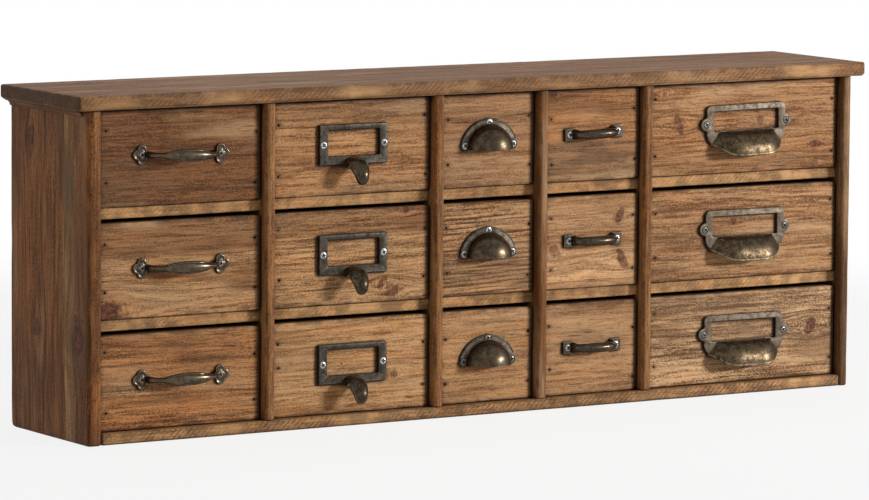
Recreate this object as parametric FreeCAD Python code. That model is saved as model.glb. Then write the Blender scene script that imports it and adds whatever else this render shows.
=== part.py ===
"""Tabletop seed cabinet: fifteen drawers in five columns and three rows, each column with its own cast pull.

Millimetres. +Z is up, the drawers face -Y, and the origin is at the middle of the underside of the carcass.
Columns are lettered a to e from the left and rows are numbered 1 to 3 from the top.
"""
import FreeCAD, Part
import math
import os

V = FreeCAD.Vector
OVERCUT = 1.0          # how far a cutting tool reaches past the face it opens

# ---- carcass -------------------------------------------------------------------------------------
COLUMN_A_WIDTH = 190.0     # clear widths between the uprights
COLUMN_B_WIDTH = 191.0
COLUMN_C_WIDTH = 117.0
COLUMN_D_WIDTH = 121.0
COLUMN_E_WIDTH = 247.0
ROW_1_HEADROOM = 2.0       # clear height of each row beyond the height of its drawer fronts
ROW_2_HEADROOM = 4.0
ROW_3_HEADROOM = 4.0
CARCASS_DEPTH = 168.0      # nose of the uprights to the back edge of the sides

LEFT_SIDE_THICKNESS = 16.0
RIGHT_SIDE_THICKNESS = 12.0
DIVIDER_THICKNESS = 12.0
SHELF_THICKNESS = 12.0
BOTTOM_THICKNESS = 12.0
TOP_THICKNESS = 15.0
BACK_THICKNESS = 4.0
BACK_REBATE = 6.0          # how far the back panel is let into each side

TOP_SIDE_OVERHANG = 13.0
TOP_FRONT_OVERHANG = 6.0
TOP_EASE = 3.5             # rounding of the top board's long arrises and corners
NOSE_RADIUS = 4.8          # bull nose on the front edge of sides and dividers
SIDE_HEEL_RADIUS = 8.0     # rounded bottom back corner of each side
BOTTOM_EASE = 2.5
SHELF_EASE = 1.5
SHELF_SETBACK = 13.0       # shelf edge behind the noses of the uprights

COVE_SIZE = 7.0            # small moulding under the overhang of the top
COVE_RADIUS = 5.5
COVE_FRONT_STOP = 12.0     # it ends this far behind the nose of the side

# ---- drawers -------------------------------------------------------------------------------------
FRONT_THICKNESS = 12.0
FRONT_SETBACK = 9.0        # drawer face behind the noses of the uprights
FRONT_SIDE_GAP = 1.5
FRONT_HEIGHT = 98.0
FRONT_EASE = 1.5
RUNNING_CLEARANCE = 0.3    # under the drawer, above the shelf it slides on
BACK_CLEARANCE = 1.0       # behind a closed drawer
BOX_WALL = 8.0
BOX_STEP = 10.0            # the drawer's sides are lower than its front
BOX_BACK_DROP = 6.0        # the drawer's back is lower than its sides
PLY_THICKNESS = 3.0
PLY_RISE = 5.0             # underside of the drawer's bottom above its lower edges
GROOVE_DEPTH = 3.0

# ---- column a: bow handle between lobed rosettes --------------------------------------------------
ROSETTE_SPACING = 92.0
ROSETTE_THICKNESS = 2.2
ROSETTE_RADIUS = 7.4
LOBE_RADIUS = 5.2
LOBE_OFFSET = 5.3
LOBED_GRIP_HEIGHT = 18.0   # drawer face to the hollow back of the grip
LOBED_GRIP_WIDTH = 13.2
LOBED_NECK_WIDTH = 6.2
LOBED_GRIP_THICKNESS = 4.6
LOBED_NECK_THICKNESS = 3.2
LOBED_PULL_RISE = 1.8      # above the middle of the drawer front

# ---- column b: label frame with a finger pull -----------------------------------------------------
LABEL_WIDTH = 82.0
LABEL_HEIGHT = 42.0
LABEL_THICKNESS = 3.4
LABEL_SIDE_BAR = 10.0
LABEL_TOP_BAR = 5.8
LABEL_BOTTOM_BAR = 9.0
LABEL_EASE = 0.8
CARD_SLOT_DEPTH = 1.3      # the card slides in from the top, behind the bars
CARD_SLOT_LAP = 2.4
FINGER_REACH = 17.0        # plate to the middle of the finger
FINGER_DROP = 20.0         # the tip below the frame's lower edge
FINGER_ROOT_WIDTH = 24.0
FINGER_WIDTH = 18.0
FINGER_THICKNESS = 7.0
LABEL_PULL_RISE = 3.4

# ---- column c: cup pull ---------------------------------------------------------------------------
CUP_WIDTH = 52.0
CUP_REACH = 22.5           # drawer face to the front of the lip, and lip to the top of the dome
CUP_WALL = 1.8
DOME_FACETS = 12
DOME_RINGS = 5
DOME_CROWN_ANGLE = 80.0    # where the dome's outermost ring lies
CUP_FLANGE = 9.0
CUP_FLANGE_THICKNESS = 1.8
CUP_BEAD = 1.3             # width of the raised line where dome and flange meet
CUP_BEAD_RISE = 1.0
CUP_EAR_RISE = 4.0         # middle of the ears above the lip
CUP_EAR_RADIUS = 5.4
CUP_PULL_RISE = -9.0       # its lip lies below the middle of the drawer front

# ---- column d: small bow handle with square feet --------------------------------------------------
FOOT_SPACING = 63.0
FOOT_WIDTH = 13.0
FOOT_HEIGHT = 14.0
FOOT_THICKNESS = 2.4
FOOT_EASE = 0.8
SQUARE_GRIP_HEIGHT = 15.0
SQUARE_GRIP_WIDTH = 10.6
SQUARE_NECK_WIDTH = 8.4
SQUARE_GRIP_THICKNESS = 5.2
SQUARE_NECK_THICKNESS = 3.4
SQUARE_NECK_INSET = 5.1    # root of the grip inside the middle of the foot
SQUARE_PULL_RISE = 2.0

# ---- column e: eared label frame with a scoop ------------------------------------------------------
SCOOP_FRAME_WIDTH = 103.0
SCOOP_FRAME_ABOVE = 20.2   # top edge above the middle of the ears
SCOOP_FRAME_BELOW = 23.5
SCOOP_FRAME_THICKNESS = 3.0
SCOOP_SIDE_BAR = 9.4
SCOOP_TOP_BAR = 6.8
SCOOP_WINDOW_HEIGHT = 21.6
SCOOP_CORNER = 6.0
SCOOP_LOWER_CORNER = 14.0  # the side sweeps in to the scoop below each ear
SCOOP_EAR_RADIUS = 6.8
SCOOP_EAR_OFFSET = 0.5     # centre of the ear outside the frame's side
SCOOP_EAR_BLEND = 1.6
SCOOP_ROOT_WIDTH = 72.0    # scoop where it leaves the window's lower edge
SCOOP_BASE_WIDTH = 92.0    # and where its ends run out on the plate
SCOOP_REACH = 21.0
SCOOP_END_RISE = 1.7       # the lip's ends above the frame's lower edge
SCOOP_LIP_DROP = 10.2      # the lip's middle below the frame's lower edge
SCOOP_WALL = 1.8
SCOOP_FACETS = 5
SCOOP_PULL_RISE = 5.0

# ---- sizes that follow ----------------------------------------------------------------------------
COLUMN_WIDTHS = (COLUMN_A_WIDTH, COLUMN_B_WIDTH, COLUMN_C_WIDTH, COLUMN_D_WIDTH, COLUMN_E_WIDTH)
ROW_HEIGHTS = [FRONT_HEIGHT + room for room in (ROW_1_HEADROOM, ROW_2_HEADROOM, ROW_3_HEADROOM)]
CARCASS_WIDTH = (LEFT_SIDE_THICKNESS + sum(COLUMN_WIDTHS) + (len(COLUMN_WIDTHS) - 1) * DIVIDER_THICKNESS
                 + RIGHT_SIDE_THICKNESS)
INNER_LEFT = -CARCASS_WIDTH / 2 + LEFT_SIDE_THICKNESS
INNER_RIGHT = CARCASS_WIDTH / 2 - RIGHT_SIDE_THICKNESS
CARCASS_HEIGHT = BOTTOM_THICKNESS + sum(ROW_HEIGHTS) + (len(ROW_HEIGHTS) - 1) * SHELF_THICKNESS
FRONT_Y = -CARCASS_DEPTH / 2
REAR_Y = CARCASS_DEPTH / 2
PANEL_Y = REAR_Y - BACK_THICKNESS
FACE_Y = FRONT_Y + FRONT_SETBACK
DRAWER_LENGTH = PANEL_Y - BACK_CLEARANCE - FACE_Y
BOX_HEIGHT = FRONT_HEIGHT - BOX_STEP


def column_spans():
    """Left and right limit of each column's clear space."""
    spans = []
    x = INNER_LEFT
    for width in COLUMN_WIDTHS:
        spans.append((x, x + width))
        x += width + DIVIDER_THICKNESS
    return spans


def row_spans():
    """Lower and upper limit of each row's clear space, top row first."""
    spans = []
    z = CARCASS_HEIGHT
    for height in ROW_HEIGHTS:
        spans.append((z - height, z))
        z -= height + SHELF_THICKNESS
    return spans


# ---- general shapes --------------------------------------------------------------------------------
def block(x, y, z):
    """Box from three (low, high) pairs."""
    return Part.makeBox(x[1] - x[0], y[1] - y[0], z[1] - z[0], V(x[0], y[0], z[0]))


def edges_where(shape, test):
    """Edges whose two ends both pass a test of their position."""
    return [e for e in shape.Edges if len(e.Vertexes) == 2 and all(test(v.Point) for v in e.Vertexes)]


def near(a, b):
    return abs(a - b) < 1e-4


def prism(wire, height, base=0.0):
    """Closed flat wire raised along +Z."""
    face = Part.Face(wire)
    face.translate(V(0, 0, base))
    return face.extrude(V(0, 0, height))


def half_oval(half_width, height, facets, skirt=0.0):
    """Points of the upper half of an oval, from right to left, with an optional straight skirt below."""
    turns = [math.pi * i / facets for i in range(facets + 1)]
    points = [V(half_width * math.cos(a), height * math.sin(a), 0) for a in turns]
    if skirt:
        points = [V(half_width, -skirt, 0)] + points + [V(-half_width, -skirt, 0)]
    return points


def closed_wire(points):
    return Part.makePolygon(points + points[:1])


def facets_between(low, high):
    """Flat faces that join two rings of as many points: quads where four corners lie in a plane."""
    faces = []
    for i, (a, d) in enumerate(zip(low, high)):
        j = (i + 1) % len(low)
        b, c = low[j], high[j]
        if abs((b - a).cross(c - a).dot(d - a)) < 1e-7:
            faces.append(Part.Face(closed_wire([a, b, c, d])))
        else:
            faces += [Part.Face(closed_wire([a, b, c])), Part.Face(closed_wire([a, c, d]))]
    return faces


def faceted_solid(rings):
    """Closed solid through successive rings of points."""
    faces = [Part.Face(closed_wire(rings[0])), Part.Face(closed_wire(rings[-1]))]
    for low, high in zip(rings, rings[1:]):
        faces += facets_between(low, high)
    solid = Part.makeSolid(Part.makeShell(faces))
    if solid.Volume < 0:
        solid.reverse()
    return solid


# ---- carcass boards --------------------------------------------------------------------------------
def upright(x0, x1, rear):
    """Board on edge with a bull-nosed front."""
    board = block((x0, x1), (FRONT_Y, rear), (0, CARCASS_HEIGHT))
    nose = edges_where(board, lambda p: near(p.y, FRONT_Y))
    nose = [e for e in nose if near(e.Vertexes[0].X, e.Vertexes[1].X)]
    return board.makeFillet(NOSE_RADIUS, nose)


def side_panel(sign):
    """Outer side: bull nose, rounded heel, and a rebate for the back panel."""
    outer = sign * CARCASS_WIDTH / 2
    inner = INNER_RIGHT if sign > 0 else INNER_LEFT
    panel = upright(min(outer, inner), max(outer, inner), REAR_Y)
    heel = edges_where(panel, lambda p: near(p.y, REAR_Y) and near(p.z, 0))
    panel = panel.makeFillet(SIDE_HEEL_RADIUS, heel)
    edge = inner + sign * BACK_REBATE
    past = inner - sign * OVERCUT
    rebate = block((min(edge, past), max(edge, past)), (PANEL_Y, REAR_Y + OVERCUT),
                   (-OVERCUT, CARCASS_HEIGHT + OVERCUT))
    return panel.cut(rebate)


def divider(x0):
    """Upright between two columns, standing on the bottom board."""
    board = upright(x0, x0 + DIVIDER_THICKNESS, PANEL_Y)
    foot = block((x0 - OVERCUT, x0 + DIVIDER_THICKNESS + OVERCUT), (FRONT_Y - OVERCUT, PANEL_Y + OVERCUT),
                 (-OVERCUT, BOTTOM_THICKNESS))
    return board.cut(foot)


def top_board():
    """Top, overhanging at the ends and the front, with soft arrises."""
    half = CARCASS_WIDTH / 2 + TOP_SIDE_OVERHANG
    front = FRONT_Y - TOP_FRONT_OVERHANG
    board = block((-half, half), (front, REAR_Y), (CARCASS_HEIGHT, CARCASS_HEIGHT + TOP_THICKNESS))
    eased = edges_where(board, lambda p: near(p.y, front))
    ends = edges_where(board, lambda p: near(abs(p.x), half) and near(p.z, CARCASS_HEIGHT + TOP_THICKNESS))
    ends = [e for e in ends if near(e.Vertexes[0].X, e.Vertexes[1].X)]
    return board.makeFillet(TOP_EASE, eased + ends)


def eased_board(x, y, z, ease):
    """Flat board with both front arrises planed off."""
    board = block(x, y, z)
    front = edges_where(board, lambda p: near(p.y, y[0]))
    front = [e for e in front if near(e.Vertexes[0].Z, e.Vertexes[1].Z)]
    return board.makeChamfer(ease, front)


def bottom_board():
    return eased_board((INNER_LEFT, INNER_RIGHT), (FRONT_Y, PANEL_Y), (0, BOTTOM_THICKNESS), BOTTOM_EASE)


def shelf_row(top):
    """The shelves of one level, one between each pair of uprights."""
    front = FRONT_Y + SHELF_SETBACK
    level = (top - SHELF_THICKNESS, top)
    return Part.makeCompound([eased_board(span, (front, PANEL_Y), level, SHELF_EASE) for span in column_spans()])


def back_panel():
    return block((INNER_LEFT - BACK_REBATE, INNER_RIGHT + BACK_REBATE), (PANEL_Y, REAR_Y), (0, CARCASS_HEIGHT))


def cove(sign):
    """Concave moulding in the corner between a side and the overhang above it."""
    x = sign * CARCASS_WIDTH / 2
    y = FRONT_Y + COVE_FRONT_STOP
    z = CARCASS_HEIGHT
    lip = COVE_SIZE - COVE_RADIUS
    turn = COVE_SIZE - COVE_RADIUS * math.sin(math.pi / 4)
    outer = x + sign * COVE_SIZE
    arc = Part.Arc(V(outer, y, z - lip), V(x + sign * turn, y, z - turn), V(x + sign * lip, y, z - COVE_SIZE))
    edges = [Part.makeLine(V(x, y, z), V(outer, y, z)),
             Part.makeLine(V(outer, y, z), V(outer, y, z - lip)),
             arc.toShape(),
             Part.makeLine(V(x + sign * lip, y, z - COVE_SIZE), V(x, y, z - COVE_SIZE)),
             Part.makeLine(V(x, y, z - COVE_SIZE), V(x, y, z))]
    return Part.Face(Part.Wire(edges)).extrude(V(0, REAR_Y - y, 0))


# ---- drawers ---------------------------------------------------------------------------------------
def drawer_front(width):
    """Solid front, eased all round its face, grooved behind for the bottom."""
    front = block((-width / 2, width / 2), (0, FRONT_THICKNESS), (0, FRONT_HEIGHT))
    front = front.makeChamfer(FRONT_EASE, edges_where(front, lambda p: near(p.y, 0)))
    inside = width / 2 - BOX_WALL
    groove = block((-inside, inside), (FRONT_THICKNESS - GROOVE_DEPTH, FRONT_THICKNESS + OVERCUT),
                   (PLY_RISE, PLY_RISE + PLY_THICKNESS))
    return front.cut(groove)


def drawer_box(width):
    """Two sides grooved for the bottom, a back between them, and the thin bottom slid in under it."""
    outside = width / 2
    inside = outside - BOX_WALL
    ply_top = PLY_RISE + PLY_THICKNESS
    groove = block((-inside - GROOVE_DEPTH, inside + GROOVE_DEPTH), (0, DRAWER_LENGTH + OVERCUT),
                   (PLY_RISE, ply_top))
    run = (FRONT_THICKNESS, DRAWER_LENGTH)
    left = block((-outside, -inside), run, (0, BOX_HEIGHT)).cut(groove)
    right = block((inside, outside), run, (0, BOX_HEIGHT)).cut(groove)
    back = block((-inside, inside), (DRAWER_LENGTH - BOX_WALL, DRAWER_LENGTH),
                 (ply_top, BOX_HEIGHT - BOX_BACK_DROP))
    ply = block((-inside - GROOVE_DEPTH, inside + GROOVE_DEPTH), (FRONT_THICKNESS, DRAWER_LENGTH),
                (PLY_RISE, ply_top))
    tongue = block((-inside, inside), (FRONT_THICKNESS - GROOVE_DEPTH, FRONT_THICKNESS), (PLY_RISE, ply_top))
    return Part.makeCompound([left, right, back, ply.fuse(tongue).removeSplitter()])


# ---- pulls: drawn flat on the drawer face, up along +Y and outwards along +Z ------------------------
def bowed_path(half_span, height, start):
    """Stations (x, z) of a bow that leaves the plate steeply and runs nearly flat across the middle."""
    steps = ((1.0, 0.0), (0.965, 0.30), (0.87, 0.62), (0.68, 0.84), (0.38, 0.965), (0.0, 1.0))
    right = [(half_span * a, start + (height - start) * b) for a, b in steps]
    left = [(-x, z) for x, z in reversed(right[:-1])]
    return right + left


def station_frames(path):
    """Origin and in-plane normal of the section at every station of a path in the XZ plane."""
    frames = []
    for i, (x, z) in enumerate(path):
        before = path[max(i - 1, 0)]
        after = path[min(i + 1, len(path) - 1)]
        along = V(after[0] - before[0], 0, after[1] - before[1]).normalize()
        frames.append((V(x, 0, z), V(-along.z, 0, along.x) * -1))
    return frames


def crowned_ring(origin, across, out):
    """Ring of a casting's section: a crown in five flats over a flat back."""
    corners = ((0.5, 0.0), (0.46, 0.40), (0.25, 0.90), (0.0, 1.0), (-0.25, 0.90), (-0.46, 0.40), (-0.5, 0.0))
    return [origin + across * u + out * w for u, w in corners]


def swell(t, neck, middle):
    """Value that grows smoothly from the neck (t = 0) to the middle of a grip (t = 1)."""
    return neck + (middle - neck) * math.sin(math.pi / 2 * min(max(t, 0.0), 1.0)) ** 1.5


def bow_grip(foot, height, widths, thicknesses, fullness):
    """Bowed grip between two feet, widest in the middle; fullness sets how soon it reaches full width."""
    path = bowed_path(foot, height, 0.6)
    rings = []
    for (x, _), (origin, out) in zip(path, station_frames(path)):
        t = (1 - abs(x) / foot) * fullness
        rings.append(crowned_ring(origin, V(0, swell(t, *widths), 0), out * swell(t, *thicknesses)))
    return faceted_solid(rings)


def lobed_rosette(x, outer):
    """Trefoil plate; its third lobe points away from the grip."""
    plate = Part.makeCylinder(ROSETTE_RADIUS, ROSETTE_THICKNESS, V(x, 0, 0))
    lobes = [Part.makeCylinder(LOBE_RADIUS, ROSETTE_THICKNESS, V(x + dx, dy, 0))
             for dx, dy in ((outer * LOBE_OFFSET, 0), (0, LOBE_OFFSET), (0, -LOBE_OFFSET))]
    return plate.fuse(lobes)


def lobed_bow_pull():
    """Bow handle that swells from two necks, each ending in a lobed rosette."""
    half = ROSETTE_SPACING / 2
    grip = bow_grip(half - ROSETTE_RADIUS + 1.0, LOBED_GRIP_HEIGHT, (LOBED_NECK_WIDTH, LOBED_GRIP_WIDTH),
                    (LOBED_NECK_THICKNESS, LOBED_GRIP_THICKNESS), 1.5)
    return grip.fuse([lobed_rosette(half, 1), lobed_rosette(-half, -1)]).removeSplitter()


def square_foot(x):
    """Square foot plate, eased round its face."""
    foot = block((x - FOOT_WIDTH / 2, x + FOOT_WIDTH / 2), (-FOOT_HEIGHT / 2, FOOT_HEIGHT / 2),
                 (0, FOOT_THICKNESS))
    return foot.makeChamfer(FOOT_EASE, edges_where(foot, lambda p: near(p.z, FOOT_THICKNESS)))


def square_foot_pull():
    """Short bow handle of nearly even width between two square feet."""
    half = FOOT_SPACING / 2
    grip = bow_grip(half - SQUARE_NECK_INSET, SQUARE_GRIP_HEIGHT,
                    (SQUARE_NECK_WIDTH, SQUARE_GRIP_WIDTH), (SQUARE_NECK_THICKNESS, SQUARE_GRIP_THICKNESS), 1.8)
    return grip.fuse([square_foot(half), square_foot(-half)]).removeSplitter()


def label_frame():
    """Rectangular card frame: the card drops in from above, behind the bars."""
    half_w = LABEL_WIDTH / 2
    half_h = LABEL_HEIGHT / 2
    frame = block((-half_w, half_w), (-half_h, half_h), (0, LABEL_THICKNESS))
    frame = frame.makeChamfer(LABEL_EASE, edges_where(frame, lambda p: near(p.z, LABEL_THICKNESS)))
    window = block((-half_w + LABEL_SIDE_BAR, half_w - LABEL_SIDE_BAR),
                   (-half_h + LABEL_BOTTOM_BAR, half_h - LABEL_TOP_BAR), (-OVERCUT, LABEL_THICKNESS + OVERCUT))
    slot = block((-half_w + LABEL_SIDE_BAR - CARD_SLOT_LAP, half_w - LABEL_SIDE_BAR + CARD_SLOT_LAP),
                 (-half_h + LABEL_BOTTOM_BAR - CARD_SLOT_LAP, half_h + OVERCUT), (-OVERCUT, CARD_SLOT_DEPTH))
    return frame.cut([window, slot])


def finger():
    """Drooping finger: grows out of the lower bar, turns down and ends in a rounded drop; flat behind."""
    root_y = -LABEL_HEIGHT / 2
    drop = FINGER_DROP
    # share of the drop, share of the reach, turn in degrees below straight out, share of the width and of the
    # thickness; each section hangs below its station, so its crown is the upper and outer side
    stations = ((0.00, 0.00, 0, FINGER_ROOT_WIDTH, 1.20),
                (0.05, 0.36, 22, FINGER_ROOT_WIDTH * 0.78, 1.15),
                (0.24, 0.72, 52, FINGER_WIDTH * 0.98, 1.05),
                (0.56, 0.93, 78, FINGER_WIDTH, 1.00),
                (0.86, 0.98, 90, FINGER_WIDTH * 0.76, 0.72),
                (1.00, 0.98, 95, FINGER_WIDTH * 0.22, 0.22))
    rings = []
    for down, out, turn, width, thick in stations:
        a = math.radians(turn)
        centre = V(0, root_y - drop * down, LABEL_THICKNESS + FINGER_REACH * out)
        crown = V(0, math.cos(a), math.sin(a)) * (FINGER_THICKNESS * thick)
        rings.append(crowned_ring(centre, V(width, 0, 0), crown))
    return faceted_solid(rings)


def label_pull():
    return Part.makeCompound([label_frame(), finger()])


def half_dome(half_width, reach, skirt=0.0):
    """Half dome standing on the face of the drawer, cut flat below, in even facets."""
    crown = math.radians(DOME_CROWN_ANGLE)
    rings = []
    for i in range(DOME_RINGS + 1):
        a = crown * i / DOME_RINGS
        out = V(0, 0, reach * math.sin(a) / math.sin(crown))
        rings.append([p + out for p in half_oval(half_width * math.cos(a), reach * math.cos(a), DOME_FACETS, skirt)])
    return faceted_solid(rings)


def cup_pull():
    """Half dome open below, on a half-oval flange with an ear at each lower end."""
    half = CUP_WIDTH / 2
    side = half + CUP_FLANGE - CUP_EAR_RADIUS
    outline = Part.Ellipse(V(0, 0, 0), half + CUP_FLANGE, CUP_REACH + CUP_FLANGE)
    rim = Part.ArcOfEllipse(outline, 0, math.pi).toShape()
    base = Part.makeLine(V(-half - CUP_FLANGE, 0, 0), V(half + CUP_FLANGE, 0, 0))
    flange = prism(Part.Wire([rim, base]), CUP_FLANGE_THICKNESS)
    ears = [Part.makeCylinder(CUP_EAR_RADIUS, CUP_FLANGE_THICKNESS, V(s * side, CUP_EAR_RISE, 0)) for s in (-1, 1)]
    bead = prism(closed_wire(half_oval(half + CUP_BEAD, CUP_REACH + CUP_BEAD, DOME_FACETS)),
                 CUP_FLANGE_THICKNESS + CUP_BEAD_RISE)
    hollow = half_dome(half - CUP_WALL, CUP_REACH - CUP_WALL, OVERCUT)
    return flange.fuse(ears + [bead, half_dome(half, CUP_REACH)]).cut(hollow).removeSplitter()


def scoop_frame():
    """Card frame with a screw ear at each side and lower corners that sweep in to the scoop."""
    half = SCOOP_FRAME_WIDTH / 2
    plate = block((-half, half), (-SCOOP_FRAME_BELOW, SCOOP_FRAME_ABOVE), (0, SCOOP_FRAME_THICKNESS))
    for level, radius in ((SCOOP_FRAME_ABOVE, SCOOP_CORNER), (-SCOOP_FRAME_BELOW, SCOOP_LOWER_CORNER)):
        corners = [e for e in edges_where(plate, lambda p: near(p.y, level)) if near(e.Vertexes[0].X, e.Vertexes[1].X)]
        plate = plate.makeFillet(radius, corners)
    ears = [Part.makeCylinder(SCOOP_EAR_RADIUS, SCOOP_FRAME_THICKNESS, V(s * (half + SCOOP_EAR_OFFSET), 0, 0))
            for s in (-1, 1)]
    frame = plate.fuse(ears).removeSplitter()
    throat = math.sqrt(SCOOP_EAR_RADIUS ** 2 - SCOOP_EAR_OFFSET ** 2)
    blend = [e for e in edges_where(frame, lambda p: near(abs(p.x), half) and near(abs(p.y), throat))
             if near(e.Vertexes[0].Y, e.Vertexes[1].Y)]
    frame = frame.makeFillet(SCOOP_EAR_BLEND, blend)
    window = block((-half + SCOOP_SIDE_BAR, half - SCOOP_SIDE_BAR),
                   (SCOOP_FRAME_ABOVE - SCOOP_TOP_BAR - SCOOP_WINDOW_HEIGHT, SCOOP_FRAME_ABOVE - SCOOP_TOP_BAR),
                   (-OVERCUT, SCOOP_FRAME_THICKNESS + OVERCUT))
    return frame.cut(window)


def scoop_ring(x_root, x_base, reach, top, lip):
    """Quarter-oval ring of the scoop: from its root below the window out to the lip, splayed towards the lip."""
    turns = [math.pi / 2 * i / SCOOP_FACETS for i in range(SCOOP_FACETS + 1)]
    rim = [V(x_root + (x_base - x_root) * (1 - math.cos(a)), lip + (top - lip) * math.cos(a), reach * math.sin(a))
           for a in turns]
    return rim + [V(x_base, lip, 0)]


def scoop_body(widths, reach, top, lip_ends, lip_middle):
    """Scoop from end to end: full across the middle, run out at each end; widths are at its root and base."""
    # place along the scoop, share of the reach, share of the lip's drop
    half = ((1.0, 0.10, 0.0), (0.93, 0.33, 0.12), (0.81, 0.60, 0.40), (0.65, 0.86, 0.84), (0.45, 1.0, 1.0))
    stations = [(-place, out, drop) for place, out, drop in half] + list(reversed(half))
    root, base = widths[0] / 2, widths[1] / 2
    rings = []
    for place, out, drop in stations:
        lip = lip_ends + (lip_middle - lip_ends) * drop
        rings.append(scoop_ring(place * root, place * base, reach * out, top, lip))
    return faceted_solid(rings)


def scoop_pull():
    top = SCOOP_FRAME_ABOVE - SCOOP_TOP_BAR - SCOOP_WINDOW_HEIGHT
    lip_ends = -SCOOP_FRAME_BELOW + SCOOP_END_RISE
    lip_middle = -SCOOP_FRAME_BELOW - SCOOP_LIP_DROP
    skin = scoop_body((SCOOP_ROOT_WIDTH, SCOOP_BASE_WIDTH), SCOOP_REACH, top, lip_ends, lip_middle)
    inner = (SCOOP_ROOT_WIDTH - 2 * SCOOP_WALL, SCOOP_BASE_WIDTH - 2 * SCOOP_WALL)
    hollow = scoop_body(inner, SCOOP_REACH - SCOOP_WALL, top - SCOOP_WALL, lip_ends - OVERCUT, lip_middle - OVERCUT)
    return scoop_frame().fuse(skin).cut(hollow).removeSplitter()


# ---- assembly --------------------------------------------------------------------------------------
PULLS = ((lobed_bow_pull, LOBED_PULL_RISE), (label_pull, LABEL_PULL_RISE), (cup_pull, CUP_PULL_RISE),
         (square_foot_pull, SQUARE_PULL_RISE), (scoop_pull, SCOOP_PULL_RISE))


def carcass():
    nodes = {"top_board": top_board(), "left_side": side_panel(-1), "right_side": side_panel(1),
             "bottom_board": bottom_board(), "back_panel": back_panel(),
             "left_cove": cove(-1), "right_cove": cove(1)}
    for i, (_, right) in enumerate(column_spans()[:-1]):
        nodes["divider_%d" % (i + 1)] = divider(right)
    rows = row_spans()
    nodes["upper_shelves"] = shelf_row(rows[0][0])
    nodes["lower_shelves"] = shelf_row(rows[1][0])
    return nodes


def drawers():
    """Front, box and pull of every drawer, closed."""
    nodes = {}
    for letter, (left, right), (make_pull, rise) in zip("abcde", column_spans(), PULLS):
        width = right - left - 2 * FRONT_SIDE_GAP
        front = drawer_front(width)
        box = drawer_box(width)
        pull = make_pull()
        pull.rotate(V(0, 0, 0), V(1, 0, 0), 90)
        pull.translate(V(0, 0, FRONT_HEIGHT / 2 + rise))
        for row, (floor, _) in enumerate(row_spans(), 1):
            place = V((left + right) / 2, FACE_Y, floor + RUNNING_CLEARANCE)
            for name, shape in (("front", front), ("box", box), ("pull", pull)):
                moved = shape.copy()
                moved.translate(place)
                nodes["drawer_%s%d_%s" % (letter, row, name)] = moved
    return nodes


def main():
    os.makedirs("parts", exist_ok=True)
    nodes = carcass()
    nodes.update(drawers())
    for name, shape in nodes.items():
        shape.exportStep("parts/%s.step" % name)
    print("%d nodes, %d solids" % (len(nodes), sum(len(s.Solids) for s in nodes.values())))


main()
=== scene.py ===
"""Seed storage cabinet with fifteen drawers: the visible pieces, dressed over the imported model.

Metres, +Z up, drawers facing -Y. Columns are lettered a to e from the left, rows are numbered from the top.
"""

import math

import bmesh
import bpy
from bpy.props import FloatProperty, FloatVectorProperty, IntProperty, PointerProperty
from mathutils import Matrix, Vector, noise


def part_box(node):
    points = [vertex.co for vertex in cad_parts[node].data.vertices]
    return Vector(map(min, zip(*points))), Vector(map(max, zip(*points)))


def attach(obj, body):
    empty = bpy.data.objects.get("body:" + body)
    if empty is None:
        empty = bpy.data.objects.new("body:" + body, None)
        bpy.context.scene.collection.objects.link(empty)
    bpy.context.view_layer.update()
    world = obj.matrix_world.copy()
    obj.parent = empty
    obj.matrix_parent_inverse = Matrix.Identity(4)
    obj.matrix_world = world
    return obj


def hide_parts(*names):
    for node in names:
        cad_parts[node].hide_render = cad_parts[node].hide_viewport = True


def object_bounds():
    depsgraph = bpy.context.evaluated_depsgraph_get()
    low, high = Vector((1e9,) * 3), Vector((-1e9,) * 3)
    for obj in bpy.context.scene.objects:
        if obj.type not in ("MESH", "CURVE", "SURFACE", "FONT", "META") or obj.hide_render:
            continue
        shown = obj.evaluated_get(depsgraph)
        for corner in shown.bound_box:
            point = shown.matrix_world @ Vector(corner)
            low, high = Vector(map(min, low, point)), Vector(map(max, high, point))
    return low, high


bl_info = {
    "name": "Seed cabinet",
    "version": (1, 0, 0),
    "blender": (4, 5, 0),
    "location": "3D View > Sidebar > Cabinet",
    "description": "Pine boards, drawer fronts and cast pulls of a tabletop seed cabinet",
    "category": "Add Mesh",
}

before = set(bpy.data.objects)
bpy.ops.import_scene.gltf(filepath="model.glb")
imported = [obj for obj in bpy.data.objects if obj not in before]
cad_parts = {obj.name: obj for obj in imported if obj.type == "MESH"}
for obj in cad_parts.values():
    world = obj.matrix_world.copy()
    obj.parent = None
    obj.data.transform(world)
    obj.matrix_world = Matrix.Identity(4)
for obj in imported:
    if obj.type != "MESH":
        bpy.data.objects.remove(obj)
CAD_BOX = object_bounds()
MM = 0.001
COLUMNS = "abcde"
ROWS = (1, 2, 3)


# ---- places, read from the frame ---------------------------------------------------------------------
def drawers(columns=COLUMNS):
    """Body name, column letter and row of every drawer in these columns."""
    return [("drawer_%s%d" % (c, r), c, r) for c in columns for r in ROWS]


def front_middle(drawer):
    """Middle of a drawer's face, on its surface."""
    lo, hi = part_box(drawer + "_front")
    return Vector(((lo.x + hi.x) / 2, lo.y, (lo.z + hi.z) / 2))


def board_middle(node):
    """Middle of a node's box."""
    lo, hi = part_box(node)
    return (lo + hi) / 2


# ---- mesh helpers --------------------------------------------------------------------------------------
MERGE = 1e-6            # points closer than this are one
CORNER_STEPS = 6        # points round each corner of a rounded rectangle


def link_object(name, data):
    """New object in the scene."""
    obj = bpy.data.objects.new(name, data)
    bpy.context.scene.collection.objects.link(obj)
    return obj


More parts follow.
